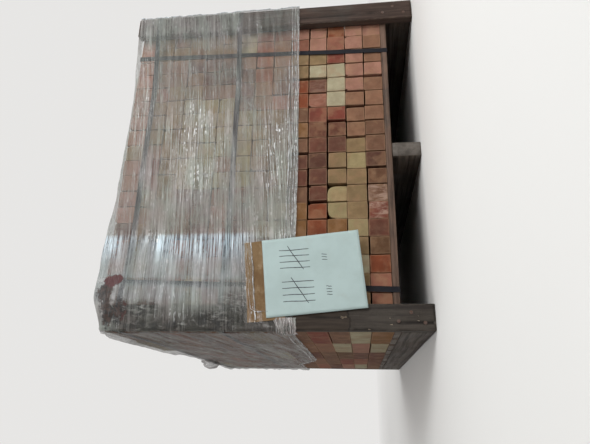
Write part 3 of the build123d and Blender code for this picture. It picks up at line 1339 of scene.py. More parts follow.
@dataclass
class Timber:
    """One sawn board, post or stringer."""

    node: str
    name: str
    material: Material
    slot: str
    step: float = 0.013
    rounding: float = 0.0022
    hollow: float = 0.0016
    worn: float = 0.0016
    torn: float = 0.0045
    splits: tuple[Split, ...] = ()
    broken_below: float = 0.0

    def build(self) -> Piece:
        """Makes the timber in its node's place, never outside the node's box.

        Returns:
            The piece.
        """
        low, high = [Vector(corner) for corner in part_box(self.node)]
        points, faces, rims = box_lattice(low, high, self.step, self.rounding)
        middle, size = (low + high) / 2, high - low
        shift = float(sum(ord(letter) for letter in self.node)) * 0.37
        long_axis = max(range(3), key=lambda a: size[a])
        waves = [3.0 if a == long_axis else 22.0 for a in range(3)]
        split_shares, cut_ends = [], []
        for number, p in enumerate(points):
            inward = Vector(ORIGIN)
            for a in range(3):
                if abs(abs(p[a] - middle[a]) - size[a] / 2) < self.rounding * 0.6:
                    inward[a] = -math.copysign(1.0, p[a] - middle[a])
            at_end = abs(inward[long_axis]) > 0
            dip = 0.5 + 0.5 * wobble(*[p[a] * waves[a] + shift for a in range(3)])
            depth, share = self.hollow * dip * (1.6 if at_end else 1.0), 0.0
            if rims[number]:
                depth += self.worn * max(0.0, wobble(*[c * 40 + shift for c in p]))
            if inward.y > 0:
                for split in self.splits:
                    near, along = split.near(p, shift), split.along(p)
                    share = max(share, near * along)
                    depth += split.depth * near * along
                if p.z < self.broken_below:
                    depth += self.torn * abs(wobble(p.x * 60 + shift, p.z * 22))
            split_shares.append(share)
            cut_ends.append(float(at_end))
            points[number] = p + inward * depth
        piece = new_piece(self.name, points, faces, self.material, smooth_faces=True)
        for label, values in (("rim", rims), ("split", split_shares), ("end", cut_ends)):
            keep_values(piece.data, f"wood_{label}", "FLOAT", values)
        return settled(piece, self.slot, self.node)


@dataclass
class Skid:
    """The three stringers and the nine deck boards."""

    effects: SharedEffects
    boards: int = 9

    def build(self) -> list[Piece]:
        """Makes the skid's timbers.

        Returns:
            The stringers and the boards.
        """
        deep = WoodFinish(self.effects, "stringer_wood", GrainAxis.DEEP, linear(92, 80, 70),
                          grey=linear(96, 90, 84), grey_share=0.6, checks=0.2).build()
        across = WoodFinish(self.effects, "board_wood", GrainAxis.ACROSS, linear(122, 98, 84),
                            linear(74, 58, 50), grey_share=0.2, checks=0.15).build()
        made = [Timber(f"stringer_{side}", f"skid_stringer_{side}", deep, "skid_wood",
                       step=0.018).build() for side in ("left", "middle", "right")]
        return made + [Timber(f"deck_board_{number}", f"skid_board_{number}", across,
                              "skid_wood", step=0.017, hollow=0.0012).build()
                       for number in range(1, self.boards + 1)]


@dataclass
class CornerPosts:
    """The four board posts, with their nails and splinters."""

    effects: SharedEffects
    head_diameter: float = 0.009
    head_height: float = 0.0012
    heads: tuple[Pair, ...] = ((0.3, 0.026), (0.68, 0.058), (0.36, 0.089))
    slivers: int = 34
    sliver_length: float = 0.015
    sliver_width: float = 0.0013
    break_height: float = 0.207
    seed: int = 61

    def wood(self, name: str, *colours: Point, **amounts: float) -> Material:
        """Wood with an upright grain."""
        return WoodFinish(self.effects, name, GrainAxis.UPRIGHT, *colours, **amounts).build()

    def posts(self) -> list[Piece]:
        """Makes the posts.

        Returns:
            The four posts.
        """
        weathered = self.wood(
            "post_wood_weathered", linear(66, 56, 48), linear(38, 32, 28), linear(71, 65, 59),
            grey_share=0.22, grey_below=self.break_height, checks=0.3, mould=0.62,
            mould_above=0.34)
        brown = self.wood("post_wood_brown", linear(80, 64, 56), linear(50, 39, 34),
                          grey_share=0.26, checks=0.3)
        left = {"step": 0.006, "broken_below": 0.20, "splits": (
            Split(-0.490, -0.04, 0.11, 0.0055, 0.006), Split(-0.466, 0.04, 0.13),
            Split(-0.476, 0.20, 0.33))}
        right = {"step": 0.008, "splits": (Split(0.470, 0.10, 0.42, 0.0035),)}
        return [Timber(f"post_{place}", f"corner_post_{place}", wood, "post_wood",
                       **extra).build()
                for place, wood, extra in (
                    ("front_left", weathered, left), ("front_right", brown, right),
                    ("back_left", brown, {}), ("back_right", weathered, {}))]

    def studs(self, name: str, kind: str, radius: str, places: list[tuple[Point, Point, Point]],
              **inputs: object) -> Piece:
        """Sets a small round head or a sliver at each place.

        Args:
            name: The piece's name.
            kind: The node that makes the shape.
            radius: The name of the shape's radius.
            places: Each one's centre, turn and size.
            inputs: The tree's inputs.

        Returns:
            The piece.
        """
        graph = Growth(name, Sides=10, Radius=0.0045, Height=0.0012)
        stud = graph.out(kind, {"Vertices": graph.given["Sides"],
                                "Depth": graph.given["Height"], radius: graph.given["Radius"]})
        tree = graph.dressed(graph.on_points(stud, "stud_turn", "stud_size"))
        centres, turns, sizes = zip(*places)
        bed = new_piece(name, centres, [], None)
        keep_values(bed.data, "stud_turn", "FLOAT_VECTOR", turns)
        keep_values(bed.data, "stud_size", "FLOAT_VECTOR", sizes)
        return settled(grown(name, tree, bed, inputs), "post_wood")

    def nails(self) -> Piece:
        """Makes the nail heads at the foot of each post.

        Returns:
            The piece.
        """
        places = []
        for node, side in (("post_front_left", -1), ("post_front_right", -1),
                           ("post_back_left", 1), ("post_back_right", 1)):
            low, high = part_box(node)
            face = low[1] if side < 0 else high[1]
            for across, z in self.heads:
                x = low[0] + across * (high[0] - low[0])
                places.append(((x, face - side * self.head_height / 2, z),
                               (math.radians(90), 0.0, 0.0), (1.0, 1.0, 1.0)))
        return self.studs("post_nails", "GeometryNodeMeshCylinder", "Radius", places,
                          Finish=NailFinish().build(), Sides=10, Radius=self.head_diameter / 2,
                          Height=self.head_height)

    def splinters(self) -> Piece:
        """Makes the splinters of the broken post.

        Returns:
            The piece.
        """
        draw = random.Random(self.seed)
        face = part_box("post_front_left")[0][1]
        places = []
        for _ in range(self.slivers):
            x = draw.uniform(-0.5065, -0.446)
            up = draw.random() < 0.8
            z = draw.uniform(0.211, 0.226) if up else draw.uniform(0.03, 0.17)
            lean = draw.gauss(0, 0.20) + (0 if draw.random() < 0.5 else math.pi)
            size = draw.uniform(0.4, 0.9)
            places.append(((x, face + 0.0022, z), (draw.uniform(-0.08, 0.02), lean, 0.0),
                           (draw.uniform(0.6, 1.2), 0.6, size)))
        pale = self.wood("torn_wood", linear(152, 138, 120), linear(120, 106, 90),
                         linear(140, 132, 120), grey_share=0.5, checks=0.1)
        return self.studs("post_splinters", "GeometryNodeMeshCone", "Radius Bottom", places,
                          Finish=pale, Sides=4, Radius=self.sliver_width,
                          Height=self.sliver_length)

    def build(self) -> list[Piece]:
        """Makes the posts, their nails and the splinters of the broken one."""
        return self.posts() + [self.nails(), self.splinters()]


# ---- what goes round the load


@dataclass(frozen=True)
class LinePoint:
    """A point of the line round the load: where it is, its outward side and how far along."""

    x: float
    y: float
    out_x: float
    out_y: float
    along: float


@dataclass(frozen=True)
class WrapLine:
    """The line that the level straps and the film follow: round the posts, in to the bars."""

    half_width: float = 0.50975
    half_depth: float = 0.5999
    post_width: float = 0.067
    post_thickness: float = 0.027
    post_round: float = 0.003
    slant: float = 0.200
    load_top: float = 0.875
    step_top: float = 0.8195
    step_y: float = -0.1204

    def corners(self) -> list[tuple[float, float, bool]]:
        """The line's corners anticlockwise from the front left, and whether each is a post's.

        Returns:
            Each corner's place, and True for a post's own corner.
        """
        w, d = self.half_width, self.half_depth
        face, inner = d + self.post_thickness, w - self.post_width
        near = inner - self.slant
        front = [(-w, -face, True), (-inner, -face, False), (-near, -d, False),
                 (near, -d, False), (inner, -face, False), (w, -face, True)]
        return front + [(-x, -y, outer) for x, y, outer in front]

    def path(self, reach: float) -> list[Vector]:
        """The closed line, with its corners rounded at the posts.

        Args:
            reach: How far outside the line it runs.

        Returns:
            Its corners, the first one again at the end.
        """
        ring = self.corners()
        path: list[Vector] = []
        for number, (x, y, outer) in enumerate(ring):
            here = Vector((x, y))
            before = (here - Vector(ring[number - 1][:2])).normalized()
            after = (Vector(ring[(number + 1) % len(ring)][:2]) - here).normalized()
            a, b = [Vector((way.y, -way.x)) for way in (before, after)]
            if outer:
                inset = here - (a + b) * self.post_round
                path += [inset + (a * math.cos(turn) + b * math.sin(turn))
                         * (self.post_round + reach)
                         for turn in (n / 4 * math.pi / 2 for n in range(5))]
            else:
                middle = (a + b).normalized()
                path.append(here + middle * reach / max(0.5, middle.dot(a)))
        return path + [path[0].copy()]

    def points(self, reach: float, step: float) -> list[LinePoint]:
        """Even points along the line.

        Args:
            reach: How far outside it they are.
            step: About how far apart they are.

        Returns:
            The points, once round.
        """
        path = self.path(reach)
        lengths = [(b - a).length for a, b in zip(path, path[1:])]
        whole = sum(lengths)
        places = {round(sum(lengths[:n]), 6) for n in range(len(lengths))}
        places |= {round(whole * n / round(whole / step), 6) for n in range(round(whole / step))}
        kept: list[float] = []
        for place in sorted(places):
            if not kept or place - kept[-1] > step * 0.12:
                kept.append(place)
        spots, run, leg = [], 0.0, 0
        for place in kept:
            while leg < len(lengths) - 1 and place > run + lengths[leg]:
                run += lengths[leg]
                leg += 1
            spots.append(path[leg].lerp(path[leg + 1], (place - run) / lengths[leg]))
        made = []
        for number, (spot, place) in enumerate(zip(spots, kept)):
            way = spots[(number + 1) % len(spots)] - spots[number - 1]
            side = Vector((way.y, -way.x)).normalized()
            made.append(LinePoint(spot.x, spot.y, side.x, side.y, place))
        return made


@dataclass
class Straps:
    """The two upright straps and the two level ones."""

    effects: SharedEffects
    line: WrapLine
    width: float = 0.015
    thickness: float = 0.0008
    clearance: float = 0.0002
    lean: float = 0.028
    foot: float = 0.080
    step: float = 0.012
    wander: float = 0.0009
    uprights: tuple[tuple[str, float], ...] = (("left", -0.388), ("right", 0.358))
    levels: tuple[tuple[str, float, float], ...] = (("low", 0.538, 0.006), ("high", 0.812, 0.007))

    def band(self, name: str, node: str, line: list[tuple[Vector, Vector, Vector]]) -> Piece:
        """Makes a closed flat band.

        Args:
            name: The piece's name.
            node: The node that it stands for.
            line: For each point once round, the middle of its inner face, its outward side and
                the way of its width.

        Returns:
            The piece.
        """
        points, places, faces, run = [], [], [], 0.0
        for number, (at, out, side) in enumerate(line):
            if number:
                run += (at - line[number - 1][0]).length
            for lift, offset in ((0, -1), (0, 1), (1, 1), (1, -1)):
                points.append(at + out * (lift * self.thickness) + side * (offset * self.width / 2))
                places.append((run, (offset + 1) * self.width / 2))
            a, b = 4 * number, 4 * ((number + 1) % len(line))
            faces += [(a + k, b + k, b + n, a + n) for k, n in ((0, 1), (1, 2), (2, 3), (3, 0))]
        piece = new_piece(name, points, faces, self.finish)
        set_map(piece.data, "strap_map", places)
        work = bmesh.new()
        work.from_mesh(piece.data)
        bmesh.ops.recalc_face_normals(work, faces=work.faces)
        work.to_mesh(piece.data)
        work.free()
        return settled(piece, "strap", node)

    def upright(self, side: str, x: float) -> Piece:
        """Makes an upright strap: under the deck, up the front, over the load, down the back.

        Args:
            side: Which one it is.
            x: The middle of it, halfway up.

        Returns:
            The piece.
        """
        back, foot = self.line.half_depth + self.clearance, self.foot - self.clearance
        top, low_top = self.line.load_top + self.clearance, self.line.step_top + self.clearance
        ring = [Vector((-back, foot)), Vector((-back, top)), Vector((self.line.step_y, top)),
                Vector((back, low_top)), Vector((back, foot))]
        line = []
        for number, a in enumerate(ring):
            b = ring[(number + 1) % len(ring)]
            way, before = (b - a).normalized(), (a - ring[number - 1]).normalized()
            flat = Vector((-way.y, way.x))
            corner = (flat + Vector((-before.y, before.x))).normalized()
            steps = max(1, round((b - a).length / self.step))
            for n in range(steps):
                at = a.lerp(b, n / steps)
                out = flat if n else corner
                height = (at.y - foot) / (top - foot)
                sway = self.wander * wobble(at.x * 9, at.y * 9, x)
                middle = x + self.lean * (height - 0.5) + sway
                line.append((Vector((middle, at.x, at.y)),
                             Vector((0, out.x, out.y)) * (1 / max(0.6, out.dot(flat))),
                             Vector((1, 0, 0))))
        return self.band(f"upright_band_{side}", f"upright_strap_{side}", line)

    def level(self, name: str, z: float, sway: float) -> Piece:
        """Makes a level strap, which wanders up and down a little on its way round.

        Args:
            name: Which one it is.
            z: How high it is.
            sway: How far it wanders.

        Returns:
            The piece.
        """
        line = [(Vector((p.x, p.y, z + sway * wobble(p.x * 2.6, p.y * 2.6, z * 30))),
                 Vector((p.out_x, p.out_y, 0)), Vector((0, 0, 1)))
                for p in self.line.points(self.clearance, self.step)]
        return self.band(f"level_band_{name}", f"level_strap_{name}", line)

    def build(self) -> list[Piece]:
        """Makes the four straps."""
        self.finish = StrapFinish(self.effects).build()
        return ([self.upright(*upright) for upright in self.uprights]
                + [self.level(*level) for level in self.levels])


@dataclass(frozen=True)
class FilmShade:
    """How the film of the front looks from place to place, from the photograph.

    Its methods take a point's x and its height z.
    """

    line: WrapLine
    strap_heights: tuple[Pair, ...] = ((0.813, 1.0), (0.538, 2.0))
    strap_x: float = -0.388
    strap_lean: float = 0.028
    strap_gap: float = 0.738

    def cover(self, x: float, z: float, along: float) -> float:
        """How thick the film is, less where a strap shows through it.

        Args:
            x: The point's x.
            z: Its height.
            along: How far along the line it is.

        Returns:
            The share that is opaque.
        """
        clear = smooth(0.245, 0.275, x) * smooth(0.556, 0.530, z)
        cover = 0.57 - 0.03 * smooth(0.05, 0.36, x) - 0.06 * clear
        cover += 0.16 * smooth(0.430, 0.445, x) * smooth(0.50, 0.56, z)
        cover -= 0.10 * blob(x, z, (0.30, 0.45), (0.50, 0.12))
        cover -= 0.08 * smooth(0.83, 0.86, z) * smooth(-0.25, -0.22, x)
        cover += 0.11 * smooth(-0.23, -0.26, x) + 0.08 * smooth(0.365, 0.35, z)
        cover += 0.07 * smooth(0.02, -0.16, x) * smooth(0.83, 0.80, z)
        cover += 0.30 * blob(x, z, (-0.50, 0.86), (0.07, 0.07))
        high_band, low_band = [
            smooth(0.010, 0.002, abs(z - middle))
            * (0.15 + 0.85 * smooth(-0.15, 0.30, wobble(along * 7, seed)))
            for middle, seed in self.strap_heights]
        lean = self.strap_x + self.strap_lean * (z - 0.478) / 0.795
        upright = max(0.7 * smooth(0.012, 0.004, abs(x - lean)),
                      0.36 * smooth(0.026, 0.010, abs(x - lean - self.strap_gap)))
        return cover - 0.36 * max(0.7 * high_band, 0.5 * low_band, upright)

    def dim(self, x: float, z: float) -> float:
        """How shaded it is: at both ends, less along the top."""
        dim = (0.30 * blob(x, z, (0.42, 0.62), (0.30, 0.40)) + 0.6 * smooth(-0.43, -0.49, x)
               + 0.34 * smooth(-0.36, -0.44, x))
        return dim * (1 - 0.85 * smooth(0.79, 0.85, z))

    def painted_reflection(self, x: float, z: float) -> float:
        """The painted reflection: a bright blue-grey band right of the left strap."""
        painted_reflection = (smooth(-0.395, -0.365, x) * smooth(-0.238, -0.249, x)
                * (smooth(0.44, 0.52, z)
                   * (1 - 0.60 * smooth(0.72, 0.76, z) * smooth(0.86, 0.82, z)))
                * (0.22 + 0.78 * smooth(-0.345, -0.265, x)))
        return max(painted_reflection, 0.2 * smooth(-0.45, -0.42, x) * smooth(-0.30, -0.37, x)
                   * smooth(0.45, 0.6, z))

    def painted_glint_share(self, x: float, z: float) -> float:
        """How much painted glint it has, before the painted reflection band is added."""
        return max(0.36, blob(x, z, (0.05, 0.66), (0.30, 0.16)),
                   blob(x, z, (0.02, 0.42), (0.24, 0.09)),
                   0.9 * blob(x, z, (0.20, 0.84), (0.34, 0.05)),
                   smooth(0.03, 0.01, abs(x + 0.246)), smooth(0.372, 0.352, z))

    def soiled(self, x: float, z: float) -> Pair:
        """How soiled and how smeared it is, by the left post.

        Args:
            x: The point's x.
            z: Its height.

        Returns:
            The stain's share, and the share of grey smears.
        """
        brown = max(blob(x, z, (-0.407, 0.856), (0.036, 0.026)),
                    0.85 * blob(x, z, (-0.436, 0.850), (0.036, 0.016)),
                    0.90 * blob(x, z, (-0.469, 0.835), (0.042, 0.020)),
                    0.62 * blob(x, z, (-0.456, 0.803), (0.040, 0.026)))
        red = max(blob(x, z, (-0.381, 0.846), (0.024, 0.026)),
                  blob(x, z, (-0.374, 0.828), (0.018, 0.024)))
        grey = max(blob(x, z, (-0.498, 0.70), (0.020, 0.16)),
                   blob(x, z, (-0.456, 0.75), (0.032, 0.08)),
                   blob(x, z, (-0.490, 0.545), (0.045, 0.12)),
                   0.7 * blob(x, z, (-0.450, 0.50), (0.06, 0.07)),
                   0.6 * blob(x, z, (-0.490, 0.42), (0.04, 0.05)),
                   smooth(0.0, 0.05, brown - red) * smooth(0.79, 0.80, z))
        return max(red, brown), grey

    def at(self, p: LinePoint, z: float) -> tuple[float, ...]:
        """How the film looks at one place of the line, on every side of the load.

        Args:
            p: The place of the line.
            z: The height.

        Returns:
            The six shares, in the order of FILM_SHARES.
        """
        x, front = p.x, p.y < -0.45 and abs(p.out_x) < 0.7
        cover, painted_reflection, soil, grey, painted_glint_share, dim = 0.47, 0.0, 0.0, 0.0, 0.25, 0.0
        if x < -self.line.half_width:
            # The left side: painted shade and more painted glints.
            painted_glint_share, cover, dim = 0.45, 0.50 + 0.1 * wobble(p.along * 3, z * 5), 0.55
        elif x > self.line.half_width:
            cover = 0.44
        if front:
            cover, dim, painted_reflection = self.cover(x, z, p.along), self.dim(x, z), self.painted_reflection(x, z)
            painted_glint_share = max(self.painted_glint_share(x, z), painted_reflection)
        # A painted highlight and reflection along the film at the right front post's corner.
        if x > 0.4 and 0.15 < p.out_x < 0.95 and p.y < 0:
            cover, painted_glint_share, painted_reflection = 0.85, 1.0, 0.7
        if front and x < -0.2:
            soil, grey = self.soiled(x, z)
            painted_glint_share *= 1 - 0.8 * max(soil, grey)
        return cover, painted_reflection, soil, grey, painted_glint_share, dim


@dataclass
class FilmWrap:
    """The stretch film: its sleeve, the ropes of its lower edge, a gather and a loose flap."""

    effects: SharedEffects
    line: WrapLine
    reach: float = 0.0022
    bottom: float = 0.348
    top: float = 0.885
    slope: float = 0.130
    step: float = 0.0068
    rows: int = 82
    fold: float = 0.046
    fold_rows: int = 7
    card_face: float = -0.6335

    def lower_edge(self, p: LinePoint) -> float:
        """How high the lower edge is at one place of the line.

        Args:
            p: The place of the line.

        Returns:
            The height.
        """
        high = 0.0
        if p.x < -self.line.half_width:
            high = smooth(0.10, 0.34, p.y) * 0.080
        elif p.y > self.line.half_depth - 0.01:
            high = smooth(0.25, -0.45, p.x) * 0.080
        return self.bottom + high + 0.004 * wobble(p.along * 3.0) + 0.002 * wobble(p.along * 14)

    def upper_edge(self, p: LinePoint) -> float:
        """How high the upper edge is at one place of the line.

        Args:
            p: The place of the line.

        Returns:
            The height.
        """
        line = self.line
        back = smooth(line.step_y, line.step_y + self.slope, p.y)
        height = line.load_top + 0.003 - back * (line.load_top - line.step_top)
        if p.y < -line.half_depth + 0.01:
            height = (0.886 - 0.034 * smooth(-0.405, -0.515, p.x)
                      + 0.005 * smooth(-0.36, -0.28, p.x) * smooth(0.15, -0.15, p.x)
                      - 0.011 * smooth(-0.25, -0.12, p.x))
        elif p.x < -line.half_width:
            height -= 0.026 * smooth(-0.50, -0.63, p.y)
        return height + 0.003 * wobble(p.along * 4.0, 3.0) + 0.0015 * wobble(p.along * 22, 5.0)

    def relief(self, p: LinePoint, z: float, v: float, share: float) -> float:
        """How far the film stands out from its line, in creases and folds.

        Args:
            p: The place of the line.
            z: The height.
            v: The height along the pull lines.
            share: How far up the film the place is, from 0 to 1.

        Returns:
            The distance outward.
        """
        side = abs(p.out_x) > 0.7
        lift = 0.0016 * (0.5 + 0.5 * wobble(p.along * 5, v * 24))
        lift += 0.0011 * abs(wobble(p.along * 8 + 4, v * 75))
        fold = abs(wobble(p.along * 3.5, v * 30, 8.0))
        lift += (0.0034 if side else 0.0016) * smooth(0.34, 0.02, fold)
        to_post = 0.0 if side else smooth(0.17, 0.02, self.line.half_width - abs(p.x))
        fold = abs(wobble((p.along - z) * 14, (z + p.along * 0.7) * 30, 2.0))
        lift += 0.0018 * to_post * smooth(0.3, 0.02, fold)
        ends = smooth(0.0, 0.10, share) * smooth(1.0, 0.94, share)
        lift += (1 - ends) * 0.0028 * (0.5 + 0.5 * wobble(p.along * 24, share * 30, 6.0))
        if p.out_y < -0.7:
            under_card = (smooth(-0.505, -0.490, p.x) * smooth(-0.255, -0.270, p.x)
                          * smooth(0.500, 0.486, z))
            lift *= 1 - under_card
        return lift

    def skew(self, along: float, whole: float) -> float:
        """How far the pull lines have climbed or dropped on their way round.

        Args:
            along: How far along the line the place is.
            whole: How long the line is.

        Returns:
            The height climbed.
        """
        front = 2 * self.line.half_width
        side = 2 * (self.line.half_depth + self.line.post_thickness)
        right = min(max(along - front, 0.0), side)
        left = min(max(along - (whole - side), 0.0), side)
        return 0.07 * right - 0.11 * left - 0.065 * min(along, front)

    def folded(self, p: LinePoint, high: float, t: float) -> tuple[Point, float]:
        """A place of the top edge, which is folded in over the load.

        Args:
            p: The place of the line.
            high: How high the fold is.
            t: How far in the place is, from 0 to 1.

        Returns:
            The point, and how much film lies between it and the fold.
        """
        at_corner = abs(abs(p.x) - self.line.half_width) < 0.03
        inward = Vector((-p.out_x, -p.out_y)).lerp(Vector((-p.x, -p.y)).normalized(),
                                                   0.6 if at_corner else 0.0)
        full = p.y < self.line.step_y + 0.02
        rest = (self.line.load_top if full else self.line.step_top) + self.reach
        if p.y < -0.3:
            rest -= 0.019 * smooth(-0.44, -0.50, p.x) * smooth(-0.50, -0.58, p.y)
        deep = self.fold * t * (0.8 + 0.35 * wobble(p.along * 5, 9.0))
        crumple = 0.005 * (0.5 + 0.5 * wobble(p.along * 26, t * 3, 4.0)) * (1 - 0.4 * t)
        z = max(rest, high + (rest - high) * smooth(0.0, 0.6, t)) + crumple * t
        return (p.x + inward.x * deep, p.y + inward.y * deep, z), deep

    def sleeve(self, material: Material) -> Piece:
        """Makes the film round the load, with its top edge folded in over it.

        Args:
            material: Its finish.

        Returns:
            The piece.
        """
        ring, shade = self.line.points(self.reach, self.step), FilmShade(self.line)
        whole = ring[-1].along + math.hypot(ring[0].x - ring[-1].x, ring[0].y - ring[-1].y)
        last = self.rows + self.fold_rows
        points, places, shades = [], [], []
        for number in range(len(ring) + 1):
            p = ring[number % len(ring)]
            along = whole if number == len(ring) else p.along
            climb = self.skew(along, whole)
            low, high = self.lower_edge(p), self.upper_edge(p)
            for row in range(last + 1):
                share = min(1.0, row / self.rows)
                v = z = low + (high - low) * share
                if row > self.rows:
                    point, deep = self.folded(p, high, (row - self.rows) / self.fold_rows)
                    v = high + deep
                else:
                    lift = self.relief(p, z, z + climb, share)
                    point = (p.x + p.out_x * lift, p.y + p.out_y * lift, z)
                points.append(point)
                places.append((along, v + climb))
                shades.append(shade.at(p, min(point[2], high)))
        piece = new_piece("film_sleeve", points, grid_faces(len(ring), last), material,
                          smooth_faces=True)
        set_map(piece.data, "film_map", places)
        for name, part in zip(FILM_SHARES, zip(*shades)):
            keep_values(piece.data, f"film_{name}", "FLOAT", part)
        settled(piece, "film", "stretch_film")
        return piece

    def rope_tree(self) -> Tree:
        """The tree that makes a twisted rope of film along each line of edges.

        Returns:
            The tree.
        """
        graph = Growth("Film ropes", Radius=0.0015, Sides=6, Wander=0.0016, Seed=3)
        given = graph.given
        curve = graph.out("GeometryNodeMeshToCurve", {"Mesh": given["Geometry"]})
        where = graph.out("GeometryNodeInputPosition")
        sway = graph.vector("SUBTRACT", where.seeded(34.0, given["Seed"], "Color"),
                            (0.5, 0.5, 0.5))
        moved = graph.out("GeometryNodeSetPosition", {
            "Geometry": curve, "Offset": graph.vector("SCALE", sway, given["Wander"] * 2.0)})
        thick = where.noise(60.0, 2.0).between(0.35, 1.3)
        sized = graph.out("GeometryNodeSetCurveRadius", {"Curve": moved, "Radius": thick})
        ring = graph.out("GeometryNodeCurvePrimitiveCircle", {
            "Resolution": given["Sides"], "Radius": given["Radius"]})
        return graph.dressed(graph.real(graph.out("GeometryNodeCurveToMesh", {
            "Curve": sized, "Profile Curve": ring, "Scale": thick, "Fill Caps": True})))

    def strands(self) -> list[tuple[list[Point], bool]]:
        """The ropes that the film's lower edge has gathered into.

        Returns:
            Each one's points, and whether it is closed.
        """
        ring, made = self.line.points(self.reach + 0.0016, 0.010), []
        for number, (lift, start, end) in enumerate((
                (0.002, 0.0, 1.0), (0.006, 0.0, 1.0), (0.012, 0.02, 0.62), (0.020, 0.0, 0.24),
                (0.030, 0.05, 0.19), (0.017, 0.66, 1.0))):
            points = []
            for p in ring[int(start * len(ring)):int(end * len(ring))]:
                rise = lift + 0.0035 * wobble(p.along * 6, number * 3.1)
                out = 0.0010 * abs(wobble(p.along * 8, number * 5.3)) + 0.0006 * number
                if p.out_y < -0.7:
                    behind = smooth(-0.490, -0.482, p.x) * smooth(-0.40, -0.43, p.x)
                    out -= (out + 0.0026) * behind
                points.append((p.x + p.out_x * out, p.y + p.out_y * out,
                               self.lower_edge(p) + rise))
            made.append((points, end - start == 1.0))
        return made

    def card_crinkles(self) -> list[tuple[list[Point], bool]]:
        """The crinkles of the film over the card: along its top and down its left end.

        Returns:
            Each one's points, and whether it is closed.
        """
        top = [-0.484 + 0.005 * n for n in range(42)]
        lines = [[(x, self.card_face, 0.4415 + 0.103 * (x + 0.490) + 0.005 * wobble(x * 30, lift))
                  for x in top] for lift in (1.0, 7.0)]
        lines.append([(-0.463 + 0.002 * wobble(n * 0.7), self.card_face, 0.444 - 0.004 * n)
                      for n in range(9)])
        return [(line, False) for line in lines]

    def ropes(self) -> Piece:
        """Makes the ropes and the crinkles as one piece.

        Returns:
            The piece.
        """
        points, edges = [], []
        for line, closed in self.strands() + self.card_crinkles():
            first = len(points)
            points += line
            edges += [(n, n + 1) for n in range(first, len(points) - 1)]
            if closed:
                edges.append((len(points) - 1, first))
        bed = new_piece("film_ropes", points, [], None, edges=edges)
        return settled(grown("film_ropes", self.rope_tree(), bed, {
            "Finish": RopeFinish().build(), "Radius": 0.0013, "Wander": 0.0012, "Seed": 3}),
            "film")

    def crumpled(self, name: str, material: Material, place: Callable[[float, float], Point],
                 steps: tuple[int, int], size: Pair, cover: float, dim: float) -> Piece:
        """Makes a loose piece of crumpled film.

        Args:
            name: The piece's name.
            material: Its finish.
            place: Where each share along and up it is.
            steps: How many steps it has along and up.
            size: Its flat width and height.
            cover: How thick it is.
            dim: How shaded it is.

        Returns:
            The piece.
        """
        columns, rows = steps
        grid = [(c, r) for c in range(columns + 1) for r in range(rows + 1)]
        piece = new_piece(name, [place(c / columns, r / rows) for c, r in grid],
                          grid_faces(columns, rows), material, smooth_faces=True)
        set_map(piece.data, "film_map",
                [(size[0] * c / columns + 3, size[1] * r / rows) for c, r in grid])
        # Every loose piece has painted glints at 0.8 and painted shade by dim, and no painted
        # reflection.
        for label, value in zip(FILM_SHARES, (cover, 0.0, 0.0, 0.0, 0.8, dim)):
            keep_values(piece.data, f"film_{label}", "FLOAT", [value] * len(grid))
        return settled(piece, "film")

    def gather(self, u: float, v: float) -> Point:
        """The bunch of film round the corner of the front left post, over its lower edge.

        Args:
            u: The share along it.
            v: The share up it.

        Returns:
            The point.
        """
        folds = abs(wobble(u * 2.2 + v * 0.8, v * 6.0 + u * 1.2, 3.0))
        swell = math.sin(math.pi * (0.06 + 0.90 * u)) ** 0.5 * math.sin(math.pi * v) ** 0.5
        out = 0.0004 + 0.0085 * swell * smooth(0.5, 0.0, folds)
        z = 0.340 + 0.058 * v * (0.70 + 0.30 * u) + 0.003 * wobble(u * 5, 2)
        if u < 0.35:
            return (-0.5122 - out, -0.6291 + 0.045 * (0.35 - u) / 0.35, z)
        return (-0.5122 - out * smooth(0.5, 0.35, u) + 0.034 * (u - 0.35) / 0.65,
                -0.6293 - out * smooth(0.3, 0.5, u), z)

    def tuck(self, u: float, v: float) -> Point:
        """The film over the top edge and the left end of the card.

        Args:
            u: The share along it.
            v: The share up it.

        Returns:
            The point.
        """
        x = -0.492 + 0.217 * u
        edge = 0.4635 + 0.103 * (x + 0.490)
        low = edge - 0.022 - 0.019 * smooth(0.17, 0.13, u) + 0.004 * wobble(u * 7, 4.0)
        folds = abs(wobble(u * 5, v * 3.4 + u * 2, 5.0))
        out = 0.0028 * smooth(0.5, 0.0, folds) * math.sin(math.pi * v) ** 0.5
        return (x, -0.6322 - out, low + (edge + 0.009 - low) * v)

    def flap(self, u: float, v: float) -> Point:
        """A loose corner of film on the left side."""
        out = 0.034 * v * math.sin(math.pi * (0.25 + 0.6 * u))
        return (-0.5124 - out, 0.18 + 0.030 * v + 0.030 * wobble(u * 3, v * 3),
                0.835 - 0.070 * u - 0.010 * v + 0.006 * wobble(u * 5, v * 4, 2))

    def build(self) -> list[Piece]:
        """Makes every piece of film."""
        loose = FilmFinish(self.effects, "film_loose", linear(146, 142, 136),
                           linear(212, 212, 209), sharpness=0.10).build()
        return [self.sleeve(FilmFinish(self.effects, "film_layers").build()), self.ropes(),
                self.crumpled("film_gather", loose, self.gather, (46, 40), (0.1, 0.09), 0.60, 0.2),
                self.crumpled("film_tuck", loose, self.tuck, (70, 14), (0.23, 0.04), 0.10, 0.0),
                self.crumpled("film_flap", loose, self.flap, (16, 10), (0.07, 0.03), 0.70, 0.8)]


# ---- the card and paper


